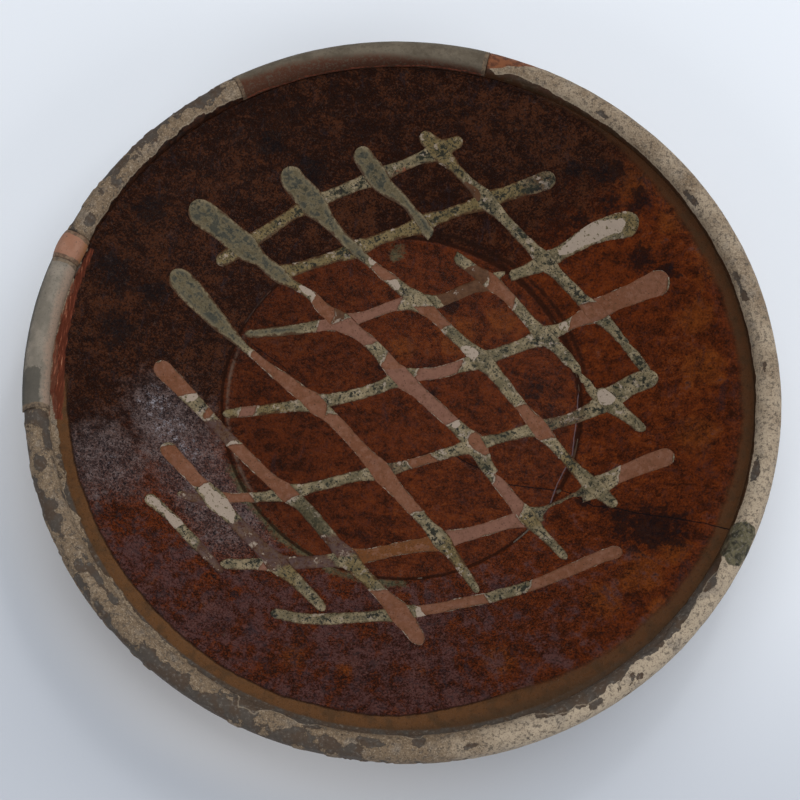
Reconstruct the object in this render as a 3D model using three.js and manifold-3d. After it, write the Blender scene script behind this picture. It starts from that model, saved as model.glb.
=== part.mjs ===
// An earthenware dish: a thrown clay body with a rolled rim, a coat of lead glaze inside,
// fifteen trails of pale slip that cross as a lattice, and three plaster fills where the rim
// was broken. Millimetres, +Z up, the origin in the middle of the flat base.
import * as THREE from 'three';
import { mergeVertices } from 'three/addons/utils/BufferGeometryUtils.js';
import Module from 'manifold-3d';

const wasm = await Module();
wasm.setup();

// Driving dimensions of the clay body
const RIM_RADIUS = 140;       // outermost radius, on the side of the rolled rim
const HEIGHT = 42;            // table to the crown of the rim
const RIM_WIDTH = 10;         // thickness of the rolled rim
const RIM_STAND = 7.5;        // rim crown above the clay just inside it
const RIM_FACE = 5;           // straight stretch of the rim's outer face, under the crown's roll
const RIM_UNDERCUT = 2.5;     // how far the rim's lower edge is rounded back
const POOL_WIDTH = 8;         // flatter band inside the rim, where glaze gathers
const POOL_RISE = 2;
const WELL_RADIUS = 68.5;     // the turned groove that marks the flat floor
const WELL_BLEND = 6;         // floor and wall run into each other over this much either side
const WALL_STEEPENING = 0.24; // share of the wall's rise that comes from its curve
const FLOOR_THICKNESS = 9.2;  // clay at the middle
const WALL_THICKNESS = 7.5;   // clay of the wall under the rim, measured upright
const GROOVE_WIDTH = 2.4;
const GROOVE_DEPTH = 0.8;
const BASE_RADIUS = 64;       // the flat that the dish stands on
const BASE_CHAMFER = 1.2;
const FOOT_HEIGHT = 3.2;      // table to where the wall's underside begins
const FOOT_FLARE = 9;         // from the base's edge out to where the wall's underside begins

// Driving dimensions of the glaze and the slip, and the fit of one piece on another
const GLAZE_THICKNESS = 0.5;
const FIT_GAP = 0.3;          // between any two pieces that lie against each other
const SLIP_THICKNESS = 1.2;   // crown of a trail of slip
const SLIP_LAP = 0.5;         // lower trail, squeezed thin where an upper one crosses it
const LAP_MARGIN = 3;         // the thinning and the lift reach this far past the other trail
const LAP_RAMP = 4;           // and fade out over this length
const SHOULDER_OUT = 0.75;    // a trail's shoulders: share of its half width, and of its crown
const SHOULDER_UP = 0.7;
const HEAD_SHARE = 0.24;      // share of a trail's length over which its head narrows
const TAIL_SHARE = 0.3;       // share of a trail's length over which its tail narrows
const NOSE_SHARE = 0.35;      // the rounded ends stop at this share of their width
const TRAIL_STEP = 4;         // length between two sections of a trail
const MARK_STEP = 2;          // length between the places at which crossings are looked for

// Plaster fills in the rim: depth of the break, and the angles from +X that each runs between
const FILL_DEPTH = 6;
const RIM_FILLS = [
  { name: 'rim_fill_top', from: 81.4, to: 124, colour: 0x8f8979 },
  { name: 'rim_fill_plug', from: 161, to: 165.8, colour: 0xc98e74 },
  { name: 'rim_fill_left', from: 165.8, to: 191, colour: 0x9c968c },
];

// Trails of slip: width at the head, in the middle and at the tail, and the places on the dish
// that each was let out over, head first. The lower set was laid first.
const LOWER_TRAILS = [
  { head: 5, middle: 4.6, tail: 5.5,
    via: [[13.5, 106], [-9.5, 94.5], [-46, 73.5], [-76.5, 46.5]] },
  { head: 8, middle: 5, tail: 4.5,
    via: [[51, 93.5], [31.5, 87], [0, 74], [-29, 59], [-54, 47]] },
  { head: 11, middle: 4.8, tail: 4,
    via: [[84, 77.5], [66.5, 72.5], [57.5, 67], [44, 59.5], [24.5, 51.5], [10.5, 43.5],
      [-4.5, 40.5], [-19, 33.5], [-33.5, 28.5], [-63, 21.5]] },
  { head: 11, middle: 5.2, tail: 4,
    via: [[97, 55.5], [79.5, 48], [63.5, 39.5], [48.5, 31], [33, 23], [17, 15.5], [-1, 10.5],
      [-10, 5], [-34, -3.5], [-67.5, -11.5]] },
  { head: 8.5, middle: 4.4, tail: 3.5,
    via: [[96, 17], [87.5, 15], [71.5, 4], [44.5, -7.5], [27, -14.5], [1, -25.5], [-20, -32.5],
      [-43, -41], [-57.5, -44], [-72, -47], [-79.5, -46.5]] },
  { head: 8, middle: 5.4, tail: 4.5,
    via: [[103, -13.5], [87.5, -20], [59.5, -36.5], [46.5, -41.5], [24.5, -50.5], [-11, -61.5],
      [-28, -65.5], [-45.5, -69], [-60.5, -71.5]] },
  { head: 6, middle: 4.8, tail: 4.5,
    via: [[86, -52], [79, -54.5], [61, -64], [36.5, -74], [-1, -84], [-27, -88.5], [-40, -88]] },
];
const UPPER_TRAILS = [
  { head: 5, middle: 4.4, tail: 3.8,
    via: [[-3, 107], [20, 89], [50, 63], [68.5, 45.5], [78.5, 36], [92.5, 18.5]] },
  { head: 8, middle: 5, tail: 4.5,
    via: [[-27.5, 98.5], [-15.5, 87], [-7, 82], [8.5, 67.5], [35, 50], [51, 34], [60, 27],
      [70.5, 15], [92.5, -4]] },
  { head: 10.4, middle: 5.2, tail: 4.4,
    via: [[-55, 86.5], [-27, 63.5], [-4.5, 47], [3.5, 42], [17, 30.5], [31.5, 19], [39.5, 10.5],
      [51.5, -2.5], [64, -15], [70, -21], [83.5, -34.5]] },
  { head: 11.5, middle: 6, tail: 3.5,
    via: [[-88.5, 66.5], [-67.5, 56], [-51, 46.5], [-38.5, 40], [-34.5, 36], [-14, 23],
      [-2.5, 12], [6, 5.5], [29.5, -14], [34, -21], [45.5, -34], [52, -40.5], [66.5, -56]] },
  { head: 10.4, middle: 5.8, tail: 3.5,
    via: [[-92.5, 40], [-78.5, 29], [-64.5, 18], [-51, 8.5], [-29.5, -6], [-17.5, -16], [-6, -27],
      [13.5, -46], [19.5, -51.5], [31, -65.5], [35, -71.5]] },
  { head: 8.5, middle: 5.2, tail: 7,
    via: [[-94, 3.5], [-78.5, -8.5], [-53, -30], [-41, -39], [-34, -43.5], [-13, -63.5],
      [7, -82.5], [16, -94]] },
  { head: 7, middle: 6, tail: 4.5,
    via: [[-87.5, -28], [-66, -46], [-40, -68], [-32.5, -73.5], [-20.5, -84.5]] },
  { head: 5.5, middle: 4.6, tail: 3,
    via: [[-90, -49.5], [-83, -54.5], [-70.5, -64.5], [-59, -75]] },
];

// Facets
const SEGMENTS = 72;
const CROWN_STEPS = 8;
const WALL_STEPS = 6;
const NOSE_STATIONS = [0, 0.15, 0.5, 1]; // sections in a rounded end, as shares of its length

// Places worked out from the dimensions above
const CROWN_RADIUS = RIM_WIDTH / 2;
const CROWN_Z = HEIGHT - CROWN_RADIUS;
const RIM_INSIDE = RIM_RADIUS - RIM_WIDTH;
const POOL_RADIUS = RIM_INSIDE - POOL_WIDTH;
const CREASE_Z = HEIGHT - RIM_STAND;
const WALL_RISE = CREASE_Z - POOL_RISE - FLOOR_THICKNESS;
const WALL_RUN = POOL_RADIUS - WELL_RADIUS;
const UNDER_START = BASE_RADIUS + FOOT_FLARE;
const COAT_OFFSET = FIT_GAP + GLAZE_THICKNESS;

const FINISH = {
  clay: { color: 0xa9694a, roughness: 0.9, metalness: 0 },
  glaze: { color: 0x5e2a1c, roughness: 0.3, metalness: 0 },
  lowerSlip: { color: 0xa59d78, roughness: 0.4, metalness: 0 },
  upperSlip: { color: 0xb0a986, roughness: 0.4, metalness: 0 },
};

// The wall's slope grows outwards: 0 to 1 in height for 0 to 1 in radius
function steepening(t) {
  return (1 - WALL_STEEPENING) * t + WALL_STEEPENING * t * t;
}

// Height of the clay inside the dish at a radius, with the groove left out
function clayTop(radius) {
  if (radius >= POOL_RADIUS) {
    return CREASE_Z - POOL_RISE * (RIM_INSIDE - radius) / POOL_WIDTH;
  }
  const past = radius - WELL_RADIUS;
  if (past <= -WELL_BLEND) return FLOOR_THICKNESS;
  if (past >= WELL_BLEND) return FLOOR_THICKNESS + WALL_RISE * steepening(past / WALL_RUN);
  const share = (past + WELL_BLEND) / (2 * WELL_BLEND);
  return FLOOR_THICKNESS + WALL_RISE * steepening(WELL_BLEND / WALL_RUN) * share * share;
}

// Height of the wall's underside at a radius
function clayUnder(radius) {
  const t = (radius - UNDER_START) / (RIM_INSIDE - UNDER_START);
  return FOOT_HEIGHT + (CREASE_Z - WALL_THICKNESS - FOOT_HEIGHT) * steepening(t);
}

// The inside of the dish from the middle out, with the groove's own corners
function insidePoints() {
  const half = GROOVE_WIDTH / 2;
  const wallStart = WELL_RADIUS + WELL_BLEND;
  const points = [[0, 0], [WELL_RADIUS - WELL_BLEND, 0], [WELL_RADIUS - half, 0]];
  points.push([WELL_RADIUS, -GROOVE_DEPTH], [WELL_RADIUS + half, 0], [wallStart, 0]);
  for (let i = 1; i <= WALL_STEPS; i += 1) {
    points.push([wallStart + (POOL_RADIUS - wallStart) * i / WALL_STEPS, 0]);
  }
  points.push([RIM_INSIDE, 0]);
  return points.map(([radius, dip]) => new THREE.Vector2(radius, clayTop(radius) + dip));
}

// The outline of the thrown body, whole, as it was before the rim was broken
function clayProfile() {
  const footEdge = BASE_RADIUS + BASE_CHAMFER;
  const faceBottom = CROWN_Z - RIM_FACE;
  const roundOff = RIM_UNDERCUT / 2;
  const profile = [
    new THREE.Vector2(0, 0),
    new THREE.Vector2(BASE_RADIUS, 0),
    new THREE.Vector2(footEdge, BASE_CHAMFER),
  ];
  for (let i = 0; i <= WALL_STEPS; i += 1) {
    const radius = UNDER_START + (RIM_INSIDE - UNDER_START) * i / WALL_STEPS;
    profile.push(new THREE.Vector2(radius, clayUnder(radius)));
  }
  profile.push(new THREE.Vector2(RIM_RADIUS - RIM_UNDERCUT, faceBottom - roundOff));
  profile.push(new THREE.Vector2(RIM_RADIUS, faceBottom + roundOff));
  for (let i = 0; i <= CROWN_STEPS; i += 1) {
    const turn = Math.PI * i / CROWN_STEPS;
    const radius = RIM_INSIDE + CROWN_RADIUS * (1 + Math.cos(turn));
    profile.push(new THREE.Vector2(radius, CROWN_Z + CROWN_RADIUS * Math.sin(turn)));
  }
  return profile.concat(insidePoints().reverse());
}

// One watertight mesh: shared corners merged, and the slivers at the axis dropped
function closed(source) {
  const geometry = source.clone();
  geometry.deleteAttribute('normal');
  geometry.deleteAttribute('uv');
  const merged = mergeVertices(geometry);
  const index = merged.index.array;
  const kept = [];
  for (let i = 0; i < index.length; i += 3) {
    const [a, b, c] = [index[i], index[i + 1], index[i + 2]];
    if (a !== b && b !== c && c !== a) kept.push(a, b, c);
  }
  merged.setIndex(kept);
  return merged;
}

// A round solid from an outline that runs up the outside and comes back inside
function turned(profile) {
  const geometry = new THREE.LatheGeometry(profile, SEGMENTS);
  geometry.rotateX(Math.PI / 2);
  return closed(geometry);
}

function toSolid(geometry) {
  return new wasm.Manifold(new wasm.Mesh({
    numProp: 3,
    vertProperties: new Float32Array(geometry.attributes.position.array),
    triVerts: new Uint32Array(geometry.index.array),
  }));
}

function toGeometry(solid) {
  const mesh = solid.getMesh();
  const geometry = new THREE.BufferGeometry();
  geometry.setAttribute('position', new THREE.BufferAttribute(mesh.vertProperties, 3));
  geometry.setIndex(new THREE.BufferAttribute(mesh.triVerts, 1));
  return geometry;
}

function piece(name, geometry, finish) {
  const mesh = new THREE.Mesh(geometry, new THREE.MeshStandardMaterial(finish));
  mesh.name = name;
  return mesh;
}

// The glaze lies over the clay inside the rim, one thickness everywhere
function glazeCoat() {
  const clay = insidePoints();
  clay[clay.length - 1].x -= FIT_GAP;
  const under = clay.map((p) => new THREE.Vector2(p.x, p.y + FIT_GAP));
  const over = clay.map((p) => new THREE.Vector2(p.x, p.y + COAT_OFFSET));
  return turned(under.concat(over.reverse()));
}

// A block over part of the rim: what a break takes out, or drawn in, what its fill takes up
function rimBlock(from, to, inset) {
  const turn = inset / RIM_RADIUS;
  const start = THREE.MathUtils.degToRad(from) + turn;
  const end = THREE.MathUtils.degToRad(to) - turn;
  const outline = new THREE.Shape();
  outline.absarc(0, 0, RIM_RADIUS + CROWN_RADIUS, start, end, false);
  outline.absarc(0, 0, RIM_INSIDE - CROWN_RADIUS, end, start, true);
  outline.closePath();
  const floor = HEIGHT - FILL_DEPTH + inset;
  const block = new THREE.ExtrudeGeometry(outline, {
    depth: HEIGHT + CROWN_RADIUS - floor,
    bevelEnabled: false,
    curveSegments: Math.max(2, Math.ceil((to - from) * SEGMENTS / 360)),
  });
  block.translate(0, 0, floor);
  return toSolid(closed(block));
}

// A trail's line, its half width at each length along it, and how far its ends are rounded
function trailRun(trail) {
  const corners = trail.via.map(([x, y]) => new THREE.Vector3(x, y, 0));
  const curve = new THREE.CatmullRomCurve3(corners, false, 'centripetal');
  const length = curve.getLength();
  const [head, middle, tail] = [trail.head / 2, trail.middle / 2, trail.tail / 2];
  const round = (s) => {
    const near = Math.min(s / head, (length - s) / tail, 1);
    return Math.max(NOSE_SHARE, Math.sqrt(1 - (1 - near) * (1 - near)));
  };
  const half = (s) => {
    const share = s / length;
    const toHead = 1 - THREE.MathUtils.smoothstep(share, 0, HEAD_SHARE);
    const toTail = THREE.MathUtils.smoothstep(share, 1 - TAIL_SHARE, 1);
    return (middle + (head - middle) * toHead + (tail - middle) * toTail) * round(s);
  };
  const marks = [];
  const count = Math.ceil(length / MARK_STEP);
  for (let i = 0; i <= count; i += 1) {
    const spot = curve.getPointAt(i / count);
    marks.push({ x: spot.x, y: spot.y, half: half(length * i / count) });
  }
  return { curve, length, head, tail, round, half, marks };
}

// Lengths along a trail at which it has a section, close together in its rounded ends
function stationsOf(run) {
  const places = NOSE_STATIONS.map((n) => n * run.head);
  const straight = run.length - run.head - run.tail;
  const count = Math.max(1, Math.round(straight / TRAIL_STEP));
  for (let i = 1; i < count; i += 1) places.push(run.head + straight * i / count);
  const tail = NOSE_STATIONS.map((n) => run.length - n * run.tail);
  return places.concat(tail.reverse());
}

// How fully a place is covered by the trails of the other set: 1 on them, 0 away from them
function cover(x, y, others) {
  let most = 0;
  for (const other of others) {
    for (const mark of other.marks) {
      const away = Math.hypot(x - mark.x, y - mark.y) - mark.half - LAP_MARGIN;
      most = Math.max(most, 1 - THREE.MathUtils.smoothstep(away, 0, LAP_RAMP));
    }
  }
  return most;
}

// One trail: a low-crowned bead whose sections follow the dish. Where two cross, the lower one
// is squeezed thin and the upper one is lifted over it.
function slipTrail(run, others, isUpper) {
  const stations = stationsOf(run);
  const section = new THREE.Shape();
  section.moveTo(-1, 0);
  section.lineTo(1, 0);
  section.lineTo(SHOULDER_OUT, SHOULDER_UP);
  section.lineTo(0, 1);
  section.lineTo(-SHOULDER_OUT, SHOULDER_UP);
  section.closePath();
  const steps = stations.length - 1;
  const bead = new THREE.ExtrudeGeometry(section, { depth: steps, steps, bevelEnabled: false });
  const geometry = closed(bead);
  const position = geometry.attributes.position;
  for (let i = 0; i < position.count; i += 1) {
    const s = stations[Math.round(position.getZ(i))];
    const spot = run.curve.getPointAt(s / run.length);
    const along = run.curve.getTangentAt(s / run.length);
    const across = position.getX(i) * run.half(s);
    const x = spot.x - along.y * across;
    const y = spot.y + along.x * across;
    const covered = cover(x, y, others);
    const crown = SLIP_THICKNESS * Math.sqrt(run.round(s));
    const lapped = isUpper ? crown : Math.min(crown, SLIP_LAP);
    const thickness = crown + (lapped - crown) * covered;
    const lift = isUpper ? (SLIP_LAP + FIT_GAP) * covered : 0;
    const under = clayTop(Math.hypot(x, y)) + COAT_OFFSET + FIT_GAP + lift;
    position.setXYZ(i, x, y, under + position.getY(i) * thickness);
  }
  return geometry;
}

const dish = new THREE.Group();

const whole = toSolid(turned(clayProfile()));
let body = whole;
for (const fill of RIM_FILLS) {
  body = body.subtract(rimBlock(fill.from, fill.to, -FIT_GAP / 2));
  const plaster = whole.intersect(rimBlock(fill.from, fill.to, FIT_GAP / 2));
  const finish = { color: fill.colour, roughness: 0.8, metalness: 0 };
  dish.add(piece(fill.name, toGeometry(plaster), finish));
}
dish.add(piece('clay_body', toGeometry(body), FINISH.clay));
dish.add(piece('glaze_coat', glazeCoat(), FINISH.glaze));

const lowerRuns = LOWER_TRAILS.map(trailRun);
const upperRuns = UPPER_TRAILS.map(trailRun);
lowerRuns.forEach((run, i) => {
  const geometry = slipTrail(run, upperRuns, false);
  dish.add(piece(`lower_slip_trail_${i + 1}`, geometry, FINISH.lowerSlip));
});
upperRuns.forEach((run, i) => {
  const geometry = slipTrail(run, lowerRuns, true);
  dish.add(piece(`upper_slip_trail_${i + 1}`, geometry, FINISH.upperSlip));
});

export default dish;
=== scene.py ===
"""The earthenware plate as it looks: a thrown red body with a crusted rim, a dark lead glaze,
fifteen trails of slip that have flaked in patches, and three plaster fills in the rim.
Sizes are in millimetres and are turned to metres where a mesh is written."""
import math

import bmesh
import bpy
import numpy as np
from mathutils import Matrix, Vector


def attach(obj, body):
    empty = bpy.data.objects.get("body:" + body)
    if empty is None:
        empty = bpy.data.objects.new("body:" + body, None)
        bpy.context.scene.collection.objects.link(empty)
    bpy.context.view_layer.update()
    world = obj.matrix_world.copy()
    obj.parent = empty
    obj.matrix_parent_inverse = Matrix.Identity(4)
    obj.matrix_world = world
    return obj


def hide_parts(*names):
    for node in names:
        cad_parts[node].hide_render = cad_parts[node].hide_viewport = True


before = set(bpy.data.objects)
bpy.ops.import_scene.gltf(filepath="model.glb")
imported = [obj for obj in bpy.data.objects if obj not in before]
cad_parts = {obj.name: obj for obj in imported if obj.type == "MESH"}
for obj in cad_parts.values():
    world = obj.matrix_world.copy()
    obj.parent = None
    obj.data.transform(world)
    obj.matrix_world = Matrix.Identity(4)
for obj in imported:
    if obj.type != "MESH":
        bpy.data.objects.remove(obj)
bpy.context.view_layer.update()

MM = 0.001

# Driving sizes of the clay body, as in the part's own source
RIM_RADIUS = 140
HEIGHT = 42
RIM_WIDTH = 10
RIM_STAND = 7.5
RIM_FACE = 5
RIM_UNDERCUT = 2.5
POOL_WIDTH = 8
POOL_RISE = 2
WELL_RADIUS = 68.5
WELL_BLEND = 6
WALL_STEEPENING = 0.24
FLOOR_THICKNESS = 9.2
WALL_THICKNESS = 7.5
GROOVE_WIDTH = 2.4
GROOVE_DEPTH = 0.8
BASE_RADIUS = 64
BASE_CHAMFER = 1.2
FOOT_HEIGHT = 3.2
FOOT_FLARE = 9
GLAZE_RISE = 0.8            # top of the glaze above the clay
GLAZE_SINK = 0.9            # underside of the glaze's skin below the clay's top
BREAK_FLOOR = 36            # height down to which the rim is broken out
FILL_SEAT = 0.3             # plaster above the floor of its break

# Places worked out from them
CROWN_RADIUS = RIM_WIDTH / 2
CROWN_Z = HEIGHT - CROWN_RADIUS
CROWN_R = RIM_RADIUS - CROWN_RADIUS
RIM_INSIDE = RIM_RADIUS - RIM_WIDTH
POOL_RADIUS = RIM_INSIDE - POOL_WIDTH
CREASE_Z = HEIGHT - RIM_STAND
WALL_RISE = CREASE_Z - POOL_RISE - FLOOR_THICKNESS
WALL_RUN = POOL_RADIUS - WELL_RADIUS
UNDER_START = BASE_RADIUS + FOOT_FLARE
INSIDE_WALL = CROWN_Z - CREASE_Z                     # straight inner face of the rim
OVER_CROWN = INSIDE_WALL + math.pi * CROWN_RADIUS    # crease to outer face, over the crown

# Plaster fills: angles from +X that each runs between
WALL_GAP = 0.02             # degrees between a break's wall and the plaster's end
RIM_FILLS = {"rim_fill_top": (81.4, 124), "rim_fill_plug": (161, 165.8), "rim_fill_left": (165.8, 191)}

# Stretches of the dish: angles from +X that each runs between, and how soft its ends are
CHIP = (72, RIM_FILLS["rim_fill_top"][0], 0.3)      # a chip that widens towards the far fill
RAW_EDGE = (162, 192, 0.4)                          # glaze broken away under the left fill
SHADED = (104, 166, 6)                              # the rim's inner face is darkest
UNSTAINED = (186, 332, 5)                           # and here it is bare of stain
CALM_CRUST = ((0, 70, 20), (335, 360, 12))          # the crust's edge is even
ROUGH_CRUST = (242, 334, 4)
WIDE_GROOVE = ((0, 75, 12), (340, 360, 8))
DOUBLE_GROOVE = (12, 100, 8)
# where a painted highlight runs inside the groove
HIGHLIGHTED_GROOVE = (163, 218, 6)
OLIVE_STAIN_AND_SHEEN_BANDS = ((249, 278, 2), (205, 249, 1))       # beside the groove, partly stain and partly painted sheen: from, to, and how far out

# Tables that run round the dish: angle from +X, and a value there. The two edges are distances from
# the crease at the foot of the rim, minus inwards over the glaze, plus up and over the rim. The other
# two, from 0 to 1, are how pale the crust is and how ochre the thick glaze under the rim is
POOL_EDGE = [(0, -4.3), (11, -4.5), (27, -4.6), (42, -4.1), (58, -1.6), (74, -0.2), (80, 2), (150, 2),
             (181, -1), (186, -5.5), (191, -6.2), (213, -6.6), (227, -6.7), (242, -6.4), (256, -6.4),
             (270, -6.8), (274, -7.2), (284, -9.1), (293, -10), (303, -8.3), (312, -6.5), (327, -5.1),
             (341, -4.6)]
CRUST_EDGE = [(0, 3.6), (11, 3.3), (42, 3.4), (58, 4.3), (74, 6.2), (90, 6.9), (106, 5.9), (122, 5.3),
              (138, 5.5), (153, 4.1), (160, 2), (166, -1.6), (191, -1.8), (213, -0.9), (222, -0.5),
              (232, -1), (240, -1.5), (244, -0.8), (247, 3), (250, 7.5), (256, 6), (262, 3.5), (267, 3),
              (272, 4), (276, 5.5), (280, 4.5), (284, 2), (288, -0.6), (293, 1), (296, 5), (300, 9),
              (304, 10), (310, 9.6), (314, 7.5), (318, 9), (322, 10), (327, 9), (332, 7.6), (338, 6.2),
              (344, 5.2), (350, 4)]
PALE_CRUST = [(0, 0.5), (40, 0.45), (75, 0.35), (125, 0.2), (160, 0.15), (195, 0.12), (240, 0.12),
              (262, 0.0), (277, 0.0), (287, 0.55), (300, 0.85), (330, 0.8), (345, 0.6)]
OCHRE_POOL = [(0, 0.25), (60, 0.1), (80, 0), (180, 0), (190, 0.75), (230, 1), (275, 0.85), (300, 0.45),
              (330, 0.35)]
LAPPED_PALE = 0.3           # how pale the crust is where it laps over the glaze
# The strip of raw clay under the left fill: angle, and its half width or its distance from the crease
RAW_WIDTH = [(162, 0.9), (166, 1.5), (180, 2.3), (187, 2.7), (192, 1.4)]
RAW_MIDDLE = [(162, -1.6), (192, -2.6)]
# Places where the rim's crust has spalled: angle, distance from the crease, half length, half width
SPALLS = [(193, 8, 3, 6), (196, 5, 4, 3), (200, 11, 3, 2.5), (205.5, 3, 4, 2.5), (210, 13, 4, 2),
          (217.5, 11, 3.5, 2.4), (219.5, 7.5, 6, 1.8), (224.8, 7.5, 3, 1.8), (229, 15, 4, 1.4),
          (235.3, 13.1, 5, 1.8), (240, 16.4, 4, 1.4), (243, 0, 4, 2), (243.4, 15.5, 2.5, 1.3),
          (245.6, 11.8, 2.6, 1.5), (247.6, 12.6, 4, 1.8), (250, 15.3, 3, 1.4), (251, 8.5, 6, 4),
          (258.3, 14.6, 3.5, 1.6), (262, 6, 3, 1.5), (270, 8.6, 4.5, 2), (277.5, 8, 2.6, 2.4),
          (285, 12, 2.5, 1.2), (299.5, 7.5, 9, 3), (305.2, 12.9, 3, 1.4), (303, 9, 4, 2),
          (312.4, 12.8, 2.2, 1.2), (318, 5.5, 7, 2.6), (326, 6, 6, 2.4), (331, 6.5, 5, 3), (351, 7, 3, 1.3),
          (8, 8.5, 2.5, 1.2), (22, 6.5, 5, 1.2), (39, 6.3, 4, 1.6), (60, 7, 5, 1.4), (128, 11, 3, 1.6),
          (134, 13.5, 4, 1.4), (141, 9, 4, 1.3), (147, 12, 3, 1.6), (153, 10, 3, 1.6), (158, 8, 2.5, 2)]
# How far the crust has worn off by itself round the rim, and how much more on its outer half
WORN = [(0, -3.2), (75, -2.8), (90, -2), (124, -1.1), (160, -0.9), (192, -1.4), (215, -1.6), (245, -1.3),
        (262, -1.4), (280, -1.8), (288, -2.1), (300, -1.7), (325, -1.6), (340, -2.6)]
WORN_OUTSIDE = [(0, 0), (90, 0), (124, 1.2), (160, 1.4), (192, 1.6), (215, 2.1), (262, 2.0), (275, 1.1),
                (290, 0.3), (310, 0)]
# A dark drip on the right of the rim, in the same terms as the spalls
DRIP = (338, 10, 8.5, 7.5)
# Pits in the crust: angle, distance from the crease, radius, depth
PITS = [(46.6, 9, 2, 0.5), (322.9, 8.9, 1.1, 0.9), (303.8, 6.5, 1.2, 0.9), (265.5, 1.5, 0.8, 0.6),
        (12, 12, 0.9, 0.4), (352, 11.5, 1.2, 0.5), (30, 10.5, 0.8, 0.4), (285, 6.4, 0.9, 0.6),
        (233, 6, 0.7, 0.5), (225, 12, 0.7, 0.5)]

# Cracks in the glaze, as places on the plate
CRACK = [(17.3, -16), (26.9, -20.9), (34.7, -23.3), (42.3, -27.7), (63.9, -28.3), (67.6, -29.4),
         (75.1, -34.2), (83.4, -35), (90.5, -37), (103.8, -39.2), (124, -44)]
HAIRLINE = [(67.1, 10.6), (67.2, 2.5), (66.4, -13.6), (61.5, -26), (59.4, -34.1)]
SHORT_CRACKS = [[(-60.5, 18.4), (-45.2, 9.3)], [(-25.8, 1.6), (-18.5, -2.1)]]
# Zones of colour in the glaze, as places and sizes: dark, warmer orange-red, hazy with a painted sheen,
# and painted sparkle (each sparkle spot with its strength), and an olive stain
BLOTCHES = [(58, 96, 7), (72, 84, 7), (74, 96, 5), (62, 78, 6), (67.7, 94.5, 8), (83.7, 85, 8),
            (85.9, 62.7, 9), (96, 58, 7), (95.5, -41.9, 17), (104, -47, 10), (86, -45, 10), (84, -38, 8),
            (72, -33, 5), (79, -35, 6), (106, -41, 8), (10.5, 4.6, 5), (-9, 14, 5), (50, 12, 9), (57, 2, 6),
            (15, 42, 7), (-44, 88, 12), (-103, 60, 10), (-114, 34, 13), (-110, 12, 12), (-98, 30, 9),
            (-60, 96, 9)]
RUST_PLACES = [(-62, -88, 7), (-83, -84, 6), (-30, -104, 9), (-10, -106, 8), (44, -98, 12), (80, -72, 12),
               (104, -52, 10), (112, 20, 14), (111, -6, 14), (108, 40, 12), (92, -62, 14), (100, -75, 8),
               (16, -104, 6), (20, 30, 16), (-2, 22, 10), (36, 38, 12), (-95, 62, 9), (-60, 100, 8),
               (60, 104, 14), (82, 92, 14), (112, 58, 12), (96, 78, 10)]
HAZE_SHEEN_LINE = [(-88, -15), (-82, -26), (-71, -42), (-58, -56)]
HAZE_SHEEN_SPOT = (-106, -40, 26)
# painted sparkle: white specks that stand for glints of light on the glaze
SPARKLE_LINE = [(-92, -12), (-80, -30)]
SPARKLE_SPOTS = [(-104, -38, 8, 0.8), (-62, -62, 12, 0.5), (0, -74, 16, 0.3)]
OLIVE_SPOT = (-8, 62, 6)

# Trails of slip: widths at head, middle and tail, and the places that each runs over, head first
LOWER_TRAILS = [
    (5, 4.6, 5.5, [(13.5, 106), (-9.5, 94.5), (-46, 73.5), (-76.5, 46.5)]),
    (8, 5, 4.5, [(51, 93.5), (31.5, 87), (0, 74), (-29, 59), (-54, 47)]),
    (11, 4.8, 4, [(84, 77.5), (66.5, 72.5), (57.5, 67), (44, 59.5), (24.5, 51.5), (10.5, 43.5),
     (-4.5, 40.5), (-19, 33.5), (-33.5, 28.5), (-63, 21.5)]),
    (11, 5.2, 4, [(97, 55.5), (79.5, 48), (63.5, 39.5), (48.5, 31), (33, 23), (17, 15.5),
     (-1, 10.5), (-10, 5), (-34, -3.5), (-67.5, -11.5)]),
    (8.5, 4.4, 3.5, [(96, 17), (87.5, 15), (71.5, 4), (44.5, -7.5), (27, -14.5), (1, -25.5),
     (-20, -32.5), (-43, -41), (-57.5, -44), (-72, -47), (-79.5, -46.5)]),
    (8, 5.4, 4.5, [(103, -13.5), (87.5, -20), (59.5, -36.5), (46.5, -41.5), (24.5, -50.5),
     (-11, -61.5), (-28, -65.5), (-45.5, -69), (-60.5, -71.5)]),
    (6, 4.8, 4.5, [(86, -52), (79, -54.5), (61, -64), (36.5, -74), (-1, -84), (-27, -88.5),
     (-40, -88)]),
]
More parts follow.
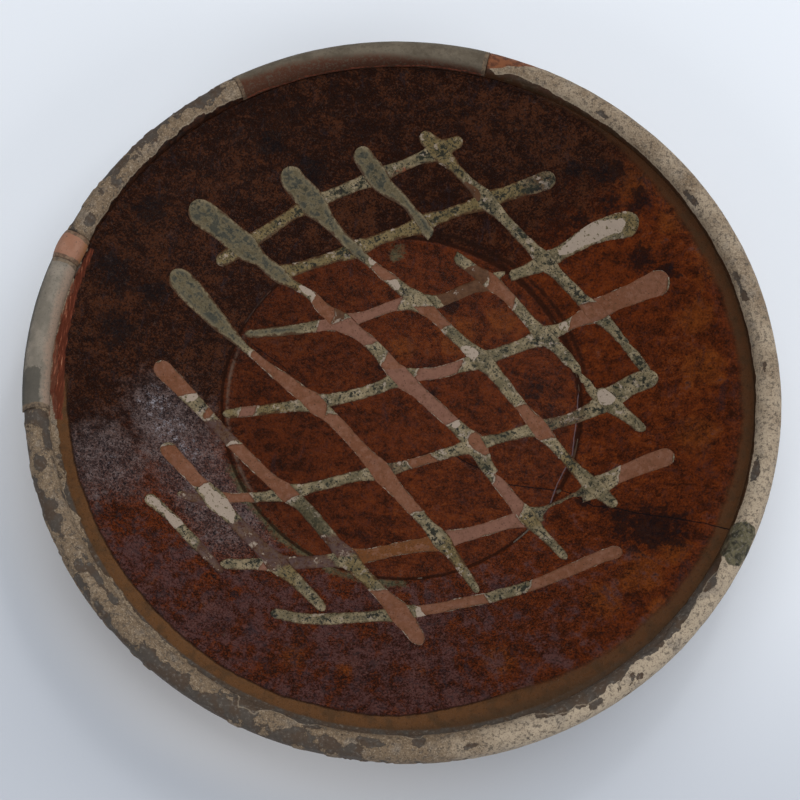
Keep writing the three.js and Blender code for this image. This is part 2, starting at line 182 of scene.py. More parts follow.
UPPER_TRAILS = [
    (5, 4.4, 3.8, [(-3, 107), (20, 89), (50, 63), (68.5, 45.5), (78.5, 36), (92.5, 18.5)]),
    (8, 5, 4.5, [(-27.5, 98.5), (-15.5, 87), (-7, 82), (8.5, 67.5), (35, 50), (51, 34), (60, 27),
     (70.5, 15), (92.5, -4)]),
    (10.4, 5.2, 4.4, [(-55, 86.5), (-27, 63.5), (-4.5, 47), (3.5, 42), (17, 30.5), (31.5, 19),
     (39.5, 10.5), (51.5, -2.5), (64, -15), (70, -21), (83.5, -34.5)]),
    (11.5, 6, 3.5, [(-88.5, 66.5), (-67.5, 56), (-51, 46.5), (-38.5, 40), (-34.5, 36), (-14, 23),
     (-2.5, 12), (6, 5.5), (29.5, -14), (34, -21), (45.5, -34), (52, -40.5),
     (66.5, -56)]),
    (10.4, 5.8, 3.5, [(-92.5, 40), (-78.5, 29), (-64.5, 18), (-51, 8.5), (-29.5, -6), (-17.5, -16),
     (-6, -27), (13.5, -46), (19.5, -51.5), (31, -65.5), (35, -71.5)]),
    (8.5, 5.2, 7, [(-94, 3.5), (-78.5, -8.5), (-53, -30), (-41, -39), (-34, -43.5), (-13, -63.5),
     (7, -82.5), (16, -94)]),
    (7, 6, 4.5, [(-87.5, -28), (-66, -46), (-40, -68), (-32.5, -73.5), (-20.5, -84.5)]),
    (5.5, 4.6, 3, [(-90, -49.5), (-83, -54.5), (-70.5, -64.5), (-59, -75)]),
]
# What has happened along each trail: from and to as shares of its length from the head, and for
# some the side of the trail that it keeps to, from -1 to 1 with the left of travel as plus.
# bare: slip gone down to the clay; pink, ochre: the same, but paler or toned; lost: worn to nothing;
# narrow: lost along both edges; faint: nearly worn through; thin: rubbed; white: without its glaze;
# brown: toned over; grey: smooth grey-green; yellow: honey-coloured; green: mossy; red: flushed
WEAR_KINDS = ("white", "brown", "grey", "yellow", "thin", "green", "pink", "ochre", "red", "lost", "faint")
LOST_SINK = 1.35            # a lost stretch lies this much lower, under the glaze
LOWER_WEAR = [
    [("yellow", 0, 0.108), ("red", 0.232, 0.286), ("yellow", 0.602, 1)],
    [("thin", 0, 0.12), ("yellow", 0.1, 1)],
    [("white", 0.03, 0.21, -0.05), ("yellow", 0, 0.05), ("lost", 0.325, 0.345), ("brown", 0.385, 0.51),
     ("pink", 0.609, 0.825), ("grey", 0.875, 1)],
    [("bare", 0, 0.218), ("white", 0.222, 0.24, -0.4), ("pink", 0.475, 0.579),
     ("yellow", 0.867, 0.928), ("pink", 0.929, 0.966), ("yellow", 0.967, 1)],
    [("thin", 0.16, 0.25), ("bare", 0.479, 0.534), ("thin", 0.534, 0.603), ("bare", 0.857, 0.914),
     ("faint", 0.92, 1)],
    [("bare", 0, 0.121), ("lost", 0.205, 0.3, 0.5), ("thin", 0.2, 0.3), ("pink", 0.348, 0.522),
     ("ochre", 0.522, 0.73), ("faint", 0.77, 0.88), ("pink", 0.895, 0.913)],
    [("bare", 0, 0.272), ("bare", 0.4, 0.571), ("white", 0.571, 0.595, 0.4)],
]
UPPER_WEAR = [
    [("brown", 0.188, 0.259, -0.6), ("yellow", 0, 0.178), ("bare", 0.712, 0.78),
     ("narrow", 0.8, 0.92)],
    [("grey", 0, 0.267), ("lost", 0.272, 0.352), ("brown", 0.4, 0.46),
     ("bare", 0.455, 0.54), ("narrow", 0.68, 0.83), ("white", 0.852, 0.893, 0.3)],
    [("grey", 0, 0.244), ("white", 0.25, 0.275, 0.5), ("bare", 0.265, 0.32), ("white", 0.31, 0.345, -0.3),
     ("bare", 0.409, 0.475), ("white", 0.53, 0.57, -0.4), ("bare", 0.707, 0.8), ("yellow", 0.835, 0.885)],
    [("grey", 0, 0.23), ("yellow", 0.205, 0.254), ("white", 0.25, 0.3, 0.4), ("bare", 0.284, 0.336),
     ("white", 0.28, 0.325, -0.6), ("brown", 0.339, 0.364), ("pink", 0.36, 0.43), ("bare", 0.47, 0.53),
     ("pink", 0.501, 0.655), ("white", 0.655, 0.672, 0.3), ("bare", 0.694, 0.749, 0.5),
     ("pink", 0.793, 0.876), ("yellow", 0.878, 0.917)],
    [("grey", 0, 0.212), ("bare", 0.247, 0.461), ("bare", 0.475, 0.769), ("yellow", 0.863, 0.942)],
    [("bare", 0, 0.112), ("white", 0.0, 0.05, 0.5), ("white", 0.11, 0.135, 0.3),
     ("bare", 0.17, 0.187, 0.5), ("faint", 0.2, 0.275), ("white", 0.275, 0.292, -0.4),
     ("bare", 0.292, 0.498), ("green", 0.5, 0.62), ("faint", 0.63, 0.7),
     ("yellow", 0.7, 0.8), ("bare", 0.82, 1)],
    [("bare", 0, 0.235), ("white", 0.24, 0.45), ("faint", 0.45, 0.73), ("yellow", 0.735, 0.82)],
    [("white", 0, 0.403), ("faint", 0.66, 1)],
]
UPPER_NECKS = [None, 0.224, 0.214, 0.239, 0.257, None, None, None]      # narrowest behind a round head
NECK_DEPTH = 0.42
NECK_SHARE = 0.075
WEB_REACH = 5.2             # slip runs together where trails cross: how far along, and by how much
WEB_SWELL = 1.45
LAID_OVER = (0.4, 1.4)      # how far inside an upper trail's edge the lower one sinks away
SLIP_RELIEF = 0.62          # crown of a trail above the glaze
HEAD_SHARE = 0.24
TAIL_SHARE = 0.3
SLIP_SINK = 0.16            # edge of a trail below the glaze
BARE_RELIEF = 0.07          # floor of a flaked patch above the glaze
TRAIL_UNDERSIDE = 1.6       # underside of a trail below the glaze's surface
CROSSING_GAP = 1.5          # two trails cross if their lines come closer than this
CROSSING_SINK = 1.3         # a lower trail sinks this much where an upper one lies over it
NARROW_CORE = 0.8           # share of its width that a narrowed trail keeps


# Random heights

def lumps(points, size, seed):
    """Smooth random values from -1 to 1 at points in millimetres, in lumps of one size."""
    scaled = points / size
    cell = np.floor(scaled).astype(np.int64)
    part = scaled - cell
    part = part * part * (3 - 2 * part)
    total = np.zeros(len(points))
    for corner in np.ndindex(2, 2, 2):
        at = cell + np.array(corner)
        # a hash of the corner and the seed, the same in every run
        mixed = at[:, 0] * 73856093 ^ at[:, 1] * 19349663 ^ at[:, 2] * 83492791 ^ seed * 2654435761
        mixed = (mixed ^ (mixed >> 13)) * 1274126177 & 0xFFFFFFFF
        mixed = (mixed ^ (mixed >> 16)) * 2246822519 & 0xFFFFFFFF
        value = ((mixed >> 12) & 0xFFFF) / 0x7FFF - 1
        weight = np.prod(np.where(np.array(corner) == 1, part, 1 - part), axis=1)
        total += weight * value
    return total


def ragged(points, size, seed, layers=3):
    """Lumps of several sizes laid over each other, each half the size of the one before."""
    total = np.zeros(len(points))
    for layer in range(layers):
        total += lumps(points, size / 2 ** layer, seed + layer) / 2 ** layer
    return total / (2 - 2.0 ** (1 - layers))


def smooth(values, low, high):
    """0 below low, 1 above high, with a soft run between them."""
    share = np.clip((values - low) / (high - low), 0, 1)
    return share * share * (3 - 2 * share)


# The dish's own shape

def steepening(share):
    return (1 - WALL_STEEPENING) * share + WALL_STEEPENING * share * share


def clay_top(radius):
    """Height of the clay inside the dish, without the groove."""
    radius = np.asarray(radius, float)
    past = radius - WELL_RADIUS
    share = np.clip((past + WELL_BLEND) / (2 * WELL_BLEND), 0, 1)
    blend = steepening(WELL_BLEND / WALL_RUN) * share ** 2
    wall = steepening(np.maximum(past, 0) / WALL_RUN)
    dish = FLOOR_THICKNESS + WALL_RISE * np.where(past < WELL_BLEND, blend, wall)
    pool = CREASE_Z - POOL_RISE * (RIM_INSIDE - radius) / POOL_WIDTH
    return np.where(radius < POOL_RADIUS, dish, pool)


def clay_under(radius):
    share = (radius - UNDER_START) / (RIM_INSIDE - UNDER_START)
    return FOOT_HEIGHT + (CREASE_Z - WALL_THICKNESS - FOOT_HEIGHT) * steepening(share)


def groove(radius):
    """Depth of the turned groove, rounded by the glaze, with a low bank outside it."""
    across = (np.asarray(radius, float) - WELL_RADIUS) / (0.34 * GROOVE_WIDTH)
    return 0.35 * GROOVE_DEPTH * np.exp(-across ** 2) - 0.06 * np.exp(-((across + 2.4) / 1.3) ** 2)


def angle_of(points):
    return np.degrees(np.arctan2(points[:, 1], points[:, 0])) % 360


def round_at(table, angle):
    """Value at an angle of a table that runs round the dish."""
    return np.interp(angle, *zip(*table), period=360)


def arc_between(angle, middle):
    """Distance round the rim between two angles, in millimetres."""
    turn = (angle - middle + 180) % 360 - 180
    return np.radians(turn) * CROWN_R


def rim_distance(radius, height):
    """Distance from the crease along the outline: up the inside, over the crown, down outside."""
    round_crown = INSIDE_WALL + CROWN_RADIUS * (math.pi - np.arctan2(height - CROWN_Z, radius - CROWN_R))
    below = np.where(radius < CROWN_R, height - CREASE_Z, OVER_CROWN + CROWN_Z - height)
    on_rim = np.where(height >= CROWN_Z, round_crown, below)
    return np.where(radius < RIM_INSIDE, radius - RIM_INSIDE, on_rim)


def within(angle, start, end, soft):
    """1 between two angles and 0 outside them, with soft ends."""
    return smooth(angle, start - soft, start + soft) * (1 - smooth(angle, end - soft, end + soft))


# Masks that the clay body and the glaze share

def oval(angle, distance, middle, across, length, width):
    """Signed distance into an oval patch on the rim, in millimetres."""
    reach = np.hypot(arc_between(angle, middle) / length, (distance - across) / width)
    return (1 - reach) * min(length, width)


def crust_cover(points, distance):
    """Signed distance into the rim's crust, and into the spalls in it, in millimetres."""
    angle = angle_of(points)
    tear = ragged(points, 8, 11, 5) + 0.35 * ragged(points, 2.4, 13, 4)
    calm = sum(within(angle, *stretch) for stretch in CALM_CRUST)
    rough = within(angle, *ROUGH_CRUST)
    inner = distance - round_at(CRUST_EDGE, angle) + (3 + 1.8 * rough - 1.9 * np.minimum(calm, 1)) * tear
    spall = np.full(len(points), -9.0)
    for place in SPALLS:
        spall = np.maximum(spall, oval(angle, distance, *place))
    spall = spall + 2.2 * ragged(points, 4.5, 21, 5)
    worn = round_at(WORN, angle) + round_at(WORN_OUTSIDE, angle) * smooth(distance, 8, 14)
    scatter = worn + 3.2 * ragged(points, 6, 31, 5) + 1.1 * ragged(points, 2.2, 33, 3)
    return inner, np.maximum(spall, scatter)


# Meshes

def new_mesh(name, bm):
    mesh = bpy.data.meshes.new(name)
    bm.to_mesh(mesh)
    bm.free()
    piece = bpy.data.objects.new(name, mesh)
    bpy.context.scene.collection.objects.link(piece)
    return piece


def points_of(piece):
    values = np.empty(len(piece.data.vertices) * 3)
    piece.data.vertices.foreach_get("co", values)
    return values.reshape(-1, 3) / MM


def move_points(piece, points):
    piece.data.vertices.foreach_set("co", (points * MM).ravel())
    piece.data.update()


def outward(piece):
    """Direction that the surface faces at each point."""
    values = np.empty(len(piece.data.vertices) * 3)
    piece.data.vertex_normals.foreach_get("vector", values)
    return values.reshape(-1, 3)


def mark(piece, **masks):
    """Keeps values at a piece's points, by name, for its finish to read."""
    for name, values in masks.items():
        attribute = piece.data.attributes.new(name, "FLOAT", "POINT")
        attribute.data.foreach_set("value", np.asarray(values, np.float32))


def finish_piece(piece, material, slot, *nodes):
    piece.data.materials.append(material)
    piece.data.shade_smooth()
    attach(piece, "root")
    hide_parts(*nodes)


DOUBLINGS = 5               # a whole turn is made from a sector, doubled this many times


def spun(name, outline, steps, start=0.0, end=360.0, closed=False):
    """A shape turned about the plate's axis from an outline of radius and height."""
    bm = bmesh.new()
    turn = Matrix.Rotation(math.radians(start), 3, "Z")
    corners = [bm.verts.new(turn @ Vector((radius * MM, 0, height * MM))) for radius, height in outline]
    pairs = list(zip(corners, corners[1:]))
    if closed:
        pairs.append((corners[-1], corners[0]))
    edges = [bm.edges.new(pair) for pair in pairs]
    whole = end - start >= 360
    share = 2 ** DOUBLINGS if whole else 1
    bmesh.ops.spin(bm, geom=corners + edges, cent=(0, 0, 0), axis=(0, 0, 1), dvec=(0, 0, 0),
                   angle=math.radians(end - start) / share, steps=steps // share)
    while share > 1:
        # the sector so far is copied and turned on by its own width
        twin = bmesh.ops.duplicate(bm, geom=bm.verts[:] + bm.edges[:] + bm.faces[:])
        verts = [item for item in twin["geom"] if isinstance(item, bmesh.types.BMVert)]
        turn = Matrix.Rotation(math.radians(end - start) / share, 3, "Z")
        bmesh.ops.rotate(bm, cent=(0, 0, 0), matrix=turn, verts=verts)
        share //= 2
    bmesh.ops.remove_doubles(bm, verts=bm.verts[:], dist=1e-6)
    open_edges = [edge for edge in bm.edges if edge.is_boundary]
    if open_edges:
        bmesh.ops.holes_fill(bm, edges=open_edges, sides=0)
    bmesh.ops.recalc_face_normals(bm, faces=bm.faces[:])
    return new_mesh(name, bm)


def steps_between(first, last, count):
    """Points that lead from one place of an outline to another, the last one included."""
    return [tuple(np.array(first) + np.subtract(last, first) * i / count) for i in range(1, count + 1)]


def crown_steps(count):
    """Points over the rolled rim from outside to inside."""
    turns = np.linspace(0, math.pi, count + 1)
    return [(CROWN_R + CROWN_RADIUS * math.cos(turn), CROWN_Z + CROWN_RADIUS * math.sin(turn))
            for turn in turns]


# The thrown body

ROUND = 960                 # sections round the plate


def body_outline():
    """Radius and height, from the middle of the base round the rim to the middle of the floor."""
    face_bottom = CROWN_Z - RIM_FACE
    lower_edge = (RIM_RADIUS - RIM_UNDERCUT, face_bottom - RIM_UNDERCUT / 2)
    upper_edge = (RIM_RADIUS, face_bottom + RIM_UNDERCUT / 2)
    outline = [(radius, 0) for radius in (0, 6, 14, 24, 34, 44, 54, 60, BASE_RADIUS)]
    outline += steps_between(outline[-1], (BASE_RADIUS + BASE_CHAMFER, BASE_CHAMFER), 2)
    outline += steps_between(outline[-1], (UNDER_START, FOOT_HEIGHT), 3)
    for radius in np.linspace(UNDER_START, RIM_INSIDE, 19)[1:]:
        outline.append((radius, float(clay_under(radius))))
    outline += steps_between(outline[-1], lower_edge, 3)
    outline += steps_between(lower_edge, upper_edge, 2)
    outline += steps_between(upper_edge, (RIM_RADIUS, CROWN_Z), 4)
    outline += crown_steps(24)[1:]
    outline += steps_between(outline[-1], (RIM_INSIDE, CREASE_Z), 4)
    for radius in (127.5, POOL_RADIUS, 100, WELL_RADIUS + WELL_BLEND, WELL_RADIUS - WELL_BLEND, 30, 0):
        outline.append((radius, float(clay_top(radius))))
    return outline


def make_body():
    body = spun("plate_body", body_outline(), ROUND)
    points = points_of(body)
    facing = outward(body)
    radius = np.hypot(points[:, 0], points[:, 1])
    angle = angle_of(points)
    # points beside a break's wall move to it, one to each side
    for wall in sorted({wall for ends in RIM_FILLS.values() for wall in ends}):
        past = (angle - wall + 180) % 360 - 180
        angle = np.where(np.abs(past) < 360 / ROUND, wall + np.where(past < 0, -WALL_GAP, WALL_GAP), angle)
    points[:, 0] = radius * np.cos(np.radians(angle))
    points[:, 1] = radius * np.sin(np.radians(angle))
    distance = rim_distance(radius, points[:, 2])
    # below the rim the distance runs on over the outer wall towards the base
    outside = (points[:, 2] < clay_top(np.minimum(radius, RIM_INSIDE)) - 2) | (distance > OVER_CROWN)
    distance = np.where(outside & (radius < RIM_RADIUS - 0.1), OVER_CROWN + 6 + RIM_INSIDE - radius, distance)
    inner, spall = crust_cover(points, distance)

    # hand-thrown unevenness, the crust's grain, the spalls and the pits, all cut into the clay
    on_rim = smooth(distance, -1, 0.5) * (1 - smooth(distance, OVER_CROWN + 5, OVER_CROWN + 9))
    depth = on_rim * (0.22 + 0.2 * ragged(points, 34, 41, 2) + 0.1 * ragged(points, 2.6, 51, 3))
    depth = depth + on_rim * 0.42 * smooth(spall, -0.3, 0.4)
    for middle, across, size, deep in PITS:
        reach = np.hypot(arc_between(angle, middle), distance - across) / size
        depth = depth + deep * (1 - smooth(reach, 0.2, 1))
    ring = 0.5 + 0.5 * np.sin(radius * 1.15 + 1.2 * lumps(points, 40, 61))
    wall_outside = smooth(distance, OVER_CROWN + 4, OVER_CROWN + 12)
    above_base = smooth(points[:, 2], 0.2, 3)
    depth = depth + wall_outside * above_base * (0.28 * ring + 0.12 + 0.12 * ragged(points, 5, 71, 3))
    from_chip = distance - np.clip(CHIP[1] - angle, 0, 12)      # its lower edge climbs away from the fill
    chipped = within(angle, *CHIP)
    chip = chipped * smooth(from_chip, 6, 8) * (1 - smooth(distance, 15, 17))
    depth = depth + chip * (0.5 + 0.25 * ragged(points, 3, 81, 3))
    points = points - facing * np.maximum(depth, 0)[:, None]
    points[:, 2] = np.maximum(points[:, 2], 0)

    # the rim is broken out down to a floor where the plaster sits
    broken = np.zeros(len(points))
    for start, end in RIM_FILLS.values():
        broken = np.maximum(broken, within(angle, start, end, 0.05))
    floor = BREAK_FLOOR + 0.2 * ragged(points, 4, 91, 3)
    cut = (broken > 0.5) & (points[:, 2] > floor)
    points[:, 2] = np.where(cut, floor, points[:, 2])

    move_points(body, points)
    frayed = from_chip + 1.5 * ragged(points, 3, 82)
    mark(body, distance=distance, crust=inner, spall=spall, pale=round_at(PALE_CRUST, angle),
         shaded=within(angle, *SHADED), stained=1 - within(angle, *UNSTAINED),
         chip=chipped * smooth(frayed, 4, 7) * (1 - smooth(distance, 17, 19)),
         drip=oval(angle, distance, *DRIP) + 2.4 * ragged(points, 5, 92, 3),
         raw_edge=within(angle, *RAW_EDGE) * (1 - smooth(np.abs(distance + 0.5), 1.5, 3)))
    return body


# The glaze

def polyline_distance(points, places):
    """Distance to a line of places seen from above, minus on its right side, plus on its left."""
    flat = points[:, :2]
    nearest = np.full(len(points), 1e9)
    signed = np.full(len(points), 1e9)
    for first, last in zip(places, places[1:]):
        start = np.array(first, float)
        run = np.array(last, float) - start
        share = np.clip((flat - start) @ run / (run @ run), 0, 1)
        gap = flat - start - share[:, None] * run
        length = np.hypot(gap[:, 0], gap[:, 1])
        side = np.sign(run[0] * gap[:, 1] - run[1] * gap[:, 0])
        closer = length < nearest
        signed = np.where(closer, side * length, signed)
        nearest = np.minimum(length, nearest)
    return signed


def near(points, x, y, size):
    """A soft spot: 1 in its middle, falling to 0 at about its size."""
    return np.exp(-((points[:, 0] - x) ** 2 + (points[:, 1] - y) ** 2) / (0.5 * size * size))


def near_any(points, places):
    """Soft spots at many places, the strongest of them at each point."""
    return np.max([near(points, *place) for place in places], axis=0)


def along_line(points, places, width):
    """A soft band along a line of places."""
    return np.exp(-(polyline_distance(points, places) / width) ** 2)


def glaze_waves(points):
    """Unevenness of the glaze's surface, which the slip on it shares."""
    return 0.1 * ragged(points, 15, 121, 2) + 0.045 * ragged(points, 3.2, 131, 2)


def make_glaze():
    # rings of points, close together over the groove and towards the crease
    over = [0, *np.arange(3, 63, 2.5), 64, 65.5, *np.arange(66.3, 71.5, 0.4), 72.3, 73.5, 75, 77, 80,
            *np.arange(82.5, 118, 2.4), *np.arange(118.5, 131, 0.8)]
    under = [over[-1], 122, 100, WELL_RADIUS + WELL_BLEND, WELL_RADIUS - WELL_BLEND, 30, 0]
    outline = [(radius, float(clay_top(radius)) + GLAZE_RISE) for radius in over]
    outline += [(radius, float(clay_top(radius)) - GLAZE_SINK) for radius in under]
    glaze = spun("glaze_skin", outline, ROUND)
    points = points_of(glaze)
    radius = np.hypot(points[:, 0], points[:, 1])
    angle = angle_of(points)
    top = points[:, 2] > clay_top(radius)
    distance = radius - RIM_INSIDE
    inner, spall = crust_cover(points, distance)
    uneven = 0.35 * ragged(points, 11, 101, 2)
    pool = distance - round_at(POOL_EDGE, angle) + uneven + 0.25 * ragged(points, 2.4, 111, 2)
    height = -groove(radius)
    height = height + 0.1 * smooth(pool, -0.5, 0.5) + 0.85 * smooth(distance, -2.6, 1.4) ** 2
    height = height + glaze_waves(points)
    height = height + 0.3 * smooth(inner, -0.2, 0.5) * smooth(distance, -5, -2)
    crack = polyline_distance(points, CRACK)
    step = 0.12 * smooth(crack, -0.6, 0.6) * np.exp(-(crack / 5) ** 2)
    height = height - 0.25 * np.exp(-(crack / 0.7) ** 2) + step
    points[:, 2] = points[:, 2] + np.where(top, height, 0)
    move_points(glaze, points)

    short = [polyline_distance(points, places) for places in SHORT_CRACKS]
    mark(glaze, distance=distance, crust=inner, spall=spall, pool=pool, pale=np.full(len(points), LAPPED_PALE),
         ray_x=points[:, 0] / np.maximum(radius, 1), ray_y=points[:, 1] / np.maximum(radius, 1),
         ray_out=radius + 3 * ragged(points, 12, 181, 2), crack=crack + 0.12 * ragged(points, 3, 141, 2),
         hairline=polyline_distance(points, HAIRLINE),
         short_crack=np.where(np.abs(short[0]) < np.abs(short[1]), short[0], short[1]),
         raw_edge=raw_edge(points, angle, distance), ochre=round_at(OCHRE_POOL, angle))
    mark_zones(glaze, points, radius)
    mark_groove(glaze, points, radius, angle)
    return glaze


def mark_zones(glaze, points, radius):
    """Broad zones of colour in the glaze, from 0 to 1."""
    x, y = points[:, 0] / RIM_RADIUS, points[:, 1] / RIM_RADIUS
    wobble = 0.12 * ragged(points, 40, 151, 3)
    on_floor = 1 - smooth(radius, WELL_RADIUS - 2, WELL_RADIUS + 2)
    dusk = smooth(0.78 * y - 0.62 * x + wobble, -0.1, 0.55) * (1 - 0.75 * on_floor)
    at_right = smooth(points[:, 0] + 60 * wobble, 0, 50)
    # darker on the far side: partly the glaze's own colour, partly painted shade
    far_side_shade = smooth(y + wobble, 0.45, 0.85) * (1 - 0.95 * at_right)
    near_side = smooth(wobble - y, 0.1, 0.65) * (1 - on_floor)
    # the hazy patch: partly corroded glaze, partly a painted sheen
    haze_and_sheen = np.maximum(along_line(points, HAZE_SHEEN_LINE, 16), near(points, *HAZE_SHEEN_SPOT))
    # painted sparkle: white specks that stand for glints of light
    painted_sparkle = along_line(points, SPARKLE_LINE, 11)
    for *place, amount in SPARKLE_SPOTS:
        painted_sparkle = painted_sparkle + amount * near(points, *place)
    mark(glaze, dusk=np.maximum(dusk, 0.95 * far_side_shade), far=far_side_shade, haze_and_sheen=haze_and_sheen * (1 - on_floor),
         violet=near_side * (1 - 0.6 * smooth(x + wobble, 0.1, 0.8)), painted_sparkle=painted_sparkle * (1 - on_floor),
         blotch=near_any(points, BLOTCHES), rust=near_any(points, RUST_PLACES),
         dim=on_floor * (0.35 + 0.65 * smooth(wobble - points[:, 0] / WELL_RADIUS, -0.3, 0.9)))


def mark_groove(glaze, points, radius, angle):
    """The painted shade in the groove, the painted highlight and the second dark line beside it, and the olive
    bands along it, partly stain and partly painted sheen.
    """
    out = radius - WELL_RADIUS
    wide = 0.85 + 0.8 * sum(within(angle, *stretch) for stretch in WIDE_GROOVE)
    # painted shade in the groove
    line = np.exp(-((out - 0.25 * lumps(points, 18, 171)) / wide) ** 2)
    second = 0.8 * within(angle, *DOUBLE_GROOVE) * np.exp(-((out - 3.2) / 1.2) ** 2)
    olive = 0.7 * near(points, *OLIVE_SPOT)
    for start, end, away in OLIVE_STAIN_AND_SHEEN_BANDS:
        olive = olive + 0.6 * within(angle, start, end, 4) * np.exp(-((out - away) / 2.6) ** 2)
    mark(glaze, groove=line + second, olive=olive,
         groove_highlight=within(angle, *HIGHLIGHTED_GROOVE) * np.exp(-((out + 1.9) / 0.5) ** 2))


def raw_edge(points, angle, distance):
    """Signed distance into the strip where glaze has broken away beside the left fill."""
    away = np.abs(distance - np.interp(angle, *zip(*RAW_MIDDLE)))
    strip = np.interp(angle, *zip(*RAW_WIDTH)) - away + 0.5 * ragged(points, 3, 161, 3)
    ends = np.minimum(angle - RAW_EDGE[0] + 0.5, RAW_EDGE[1] + 0.5 - angle) * 2
    return np.minimum(strip, ends)


# The trails of slip

class Trail:
    """One trail's centre line, its half width and its places, worked out once."""

    def __init__(self, head, middle, tail, via, neck=None):
        self.head, self.middle, self.tail = head / 2, middle / 2, tail / 2
        self.neck = neck
        self.crossings = []
        self.line = smooth_line(via)
        steps = np.hypot(*np.diff(self.line, axis=0).T)
        self.lengths = np.concatenate([[0], np.cumsum(steps)])
        self.length = self.lengths[-1]

    def place(self, along):
        x = np.interp(along, self.lengths, self.line[:, 0])
        y = np.interp(along, self.lengths, self.line[:, 1])
        return x, y

    def direction(self, along):
        ahead = np.array(self.place(np.minimum(along + 0.6, self.length)))
        behind = np.array(self.place(np.maximum(along - 0.6, 0)))
        run = ahead - behind
        return run / np.hypot(run[0], run[1])

    def half(self, along):
        share = along / self.length
        to_head = 1 - smooth(share, 0, HEAD_SHARE)
        to_tail = smooth(share, 1 - TAIL_SHARE, 1)
        half = self.middle + (self.tail - self.middle) * to_tail
        half = half * (1 - to_head) + self.head * to_head
        if self.neck:
            half = half * (1 - NECK_DEPTH * np.exp(-((share - self.neck) / NECK_SHARE) ** 2))
        web = np.zeros(np.shape(along))
        for crossing in self.crossings:
            web = np.maximum(web, np.exp(-((along - crossing) / WEB_REACH) ** 2))
        end = np.clip(np.minimum(along / self.head, (self.length - along) / (1.5 * self.tail)), 0, 1)
        return (half + WEB_SWELL * web) * np.sqrt(np.clip(1 - (1 - end) ** 2, 0.0004, 1))

    def cover(self, points):
        """How far inside this trail's edge each point lies, minus outside."""
        inside = np.full(len(points), -99.0)
        for along in np.arange(0, self.length, 1.2):
            x, y = self.place(along)
            half = float(self.half(np.array(along)))
            inside = np.maximum(inside, half - np.hypot(points[:, 0] - x, points[:, 1] - y))
        return inside


def find_crossings(lower, upper):
    """Notes on both trails where their lines cross."""
    gaps = np.linalg.norm(lower.line[:, None] - upper.line[None], axis=2)
    first, second = np.unravel_index(np.argmin(gaps), gaps.shape)
    if gaps[first, second] < CROSSING_GAP:
        lower.crossings.append(lower.lengths[first])
        upper.crossings.append(upper.lengths[second])


def smooth_line(via):
    """Points along a centripetal curve through the places, close together."""
    places = [np.array(place, float) for place in via]
    places = [2 * places[0] - places[1]] + places + [2 * places[-1] - places[-2]]
    share = np.linspace(0, 1, 120)[:, None]
    runs = []
    for before, first, last, after in zip(places, places[1:], places[2:], places[3:]):
        gaps = [math.sqrt(np.linalg.norm(b - a)) for a, b in ((before, first), (first, last), (last, after))]
        leave = (first - before) / gaps[0] - (last - before) / (gaps[0] + gaps[1]) + (last - first) / gaps[1]
        arrive = (last - first) / gaps[1] - (after - first) / (gaps[1] + gaps[2]) + (after - last) / gaps[2]
        leave, arrive = leave * gaps[1], arrive * gaps[1]
        square = 3 * (last - first) - 2 * leave - arrive
        cube = 2 * (first - last) + leave + arrive
        runs.append(first + leave * share + square * share ** 2 + cube * share ** 3)
    return np.concatenate([runs[0]] + [run[1:] for run in runs[1:]])


GRID = 0.38                 # spacing of a trail's surface points, in millimetres


def close_underneath(bm, low):
    """Strips from side to side under a ribbon, so that its underside follows the dish."""
    brink = 1 - 1e-5
    left = sorted((vert for vert in low if vert.co.y > brink), key=lambda vert: vert.co.x)
    right = sorted((vert for vert in low if vert.co.y < -brink), key=lambda vert: vert.co.x)
    first = sorted((vert for vert in low if vert.co.x < -brink), key=lambda vert: vert.co.y)
    last = sorted((vert for vert in low if vert.co.x > brink), key=lambda vert: vert.co.y)
    bm.faces.new(first + [left[1], right[1]])
    bm.faces.new(last + [left[-2], right[-2]])
    for i in range(1, len(left) - 2):
        bm.faces.new((left[i], left[i + 1], right[i + 1], right[i]))


def worn_places(trail, wear, along, side, half, flat, seed):
    """Signed distance into the places where slip is gone, and other wear from 0 to 1."""
    gone = np.full(len(along), -9.0)
    masks = {kind: np.zeros(len(along)) for kind in WEAR_KINDS}
    tear = 2.4 * ragged(flat, 6, seed + 100, 5)
    side_gap = half * (1 - np.abs(side)) - 0.2 - 0.5 * ragged(flat, 3, seed + 150, 3)
    for turn, (kind, start, end, *keeps_to) in enumerate(wear):
        slant = along + (0.6 if turn % 2 else -0.6) * side * half
        into = np.minimum(slant - start * trail.length, end * trail.length - slant)
        if keeps_to:
            middle, reach = (start + end) / 2 * trail.length, (end - start) / 2 * trail.length
            away = np.hypot((along - middle) / reach, (side - keeps_to[0]) / 0.85)
            into = (1 - away) * np.minimum(reach, half)
        if kind == "narrow":
            into = np.minimum(into, (np.abs(side) - NARROW_CORE) * half)
            kind = "lost"
        if kind in ("bare", "pink", "ochre"):
            gone = np.maximum(gone, np.minimum(into + tear, side_gap))
        if kind != "bare":
            soft = 0.5 if kind in ("white", "pink", "brown", "ochre", "lost") else 3.0
            if kind == "white":
                into = np.minimum(into, side_gap - 0.2)
            torn = into + (0.45 if keeps_to else 1) * tear
            masks[kind] = np.maximum(masks[kind], smooth(torn, -soft, soft))
    small = 1.9 * ragged(flat, 3.4, seed + 200, 3) - 1.75
    gone = np.maximum(gone, small * (1 - masks["grey"]) - 2 * masks["grey"])
    return gone, masks


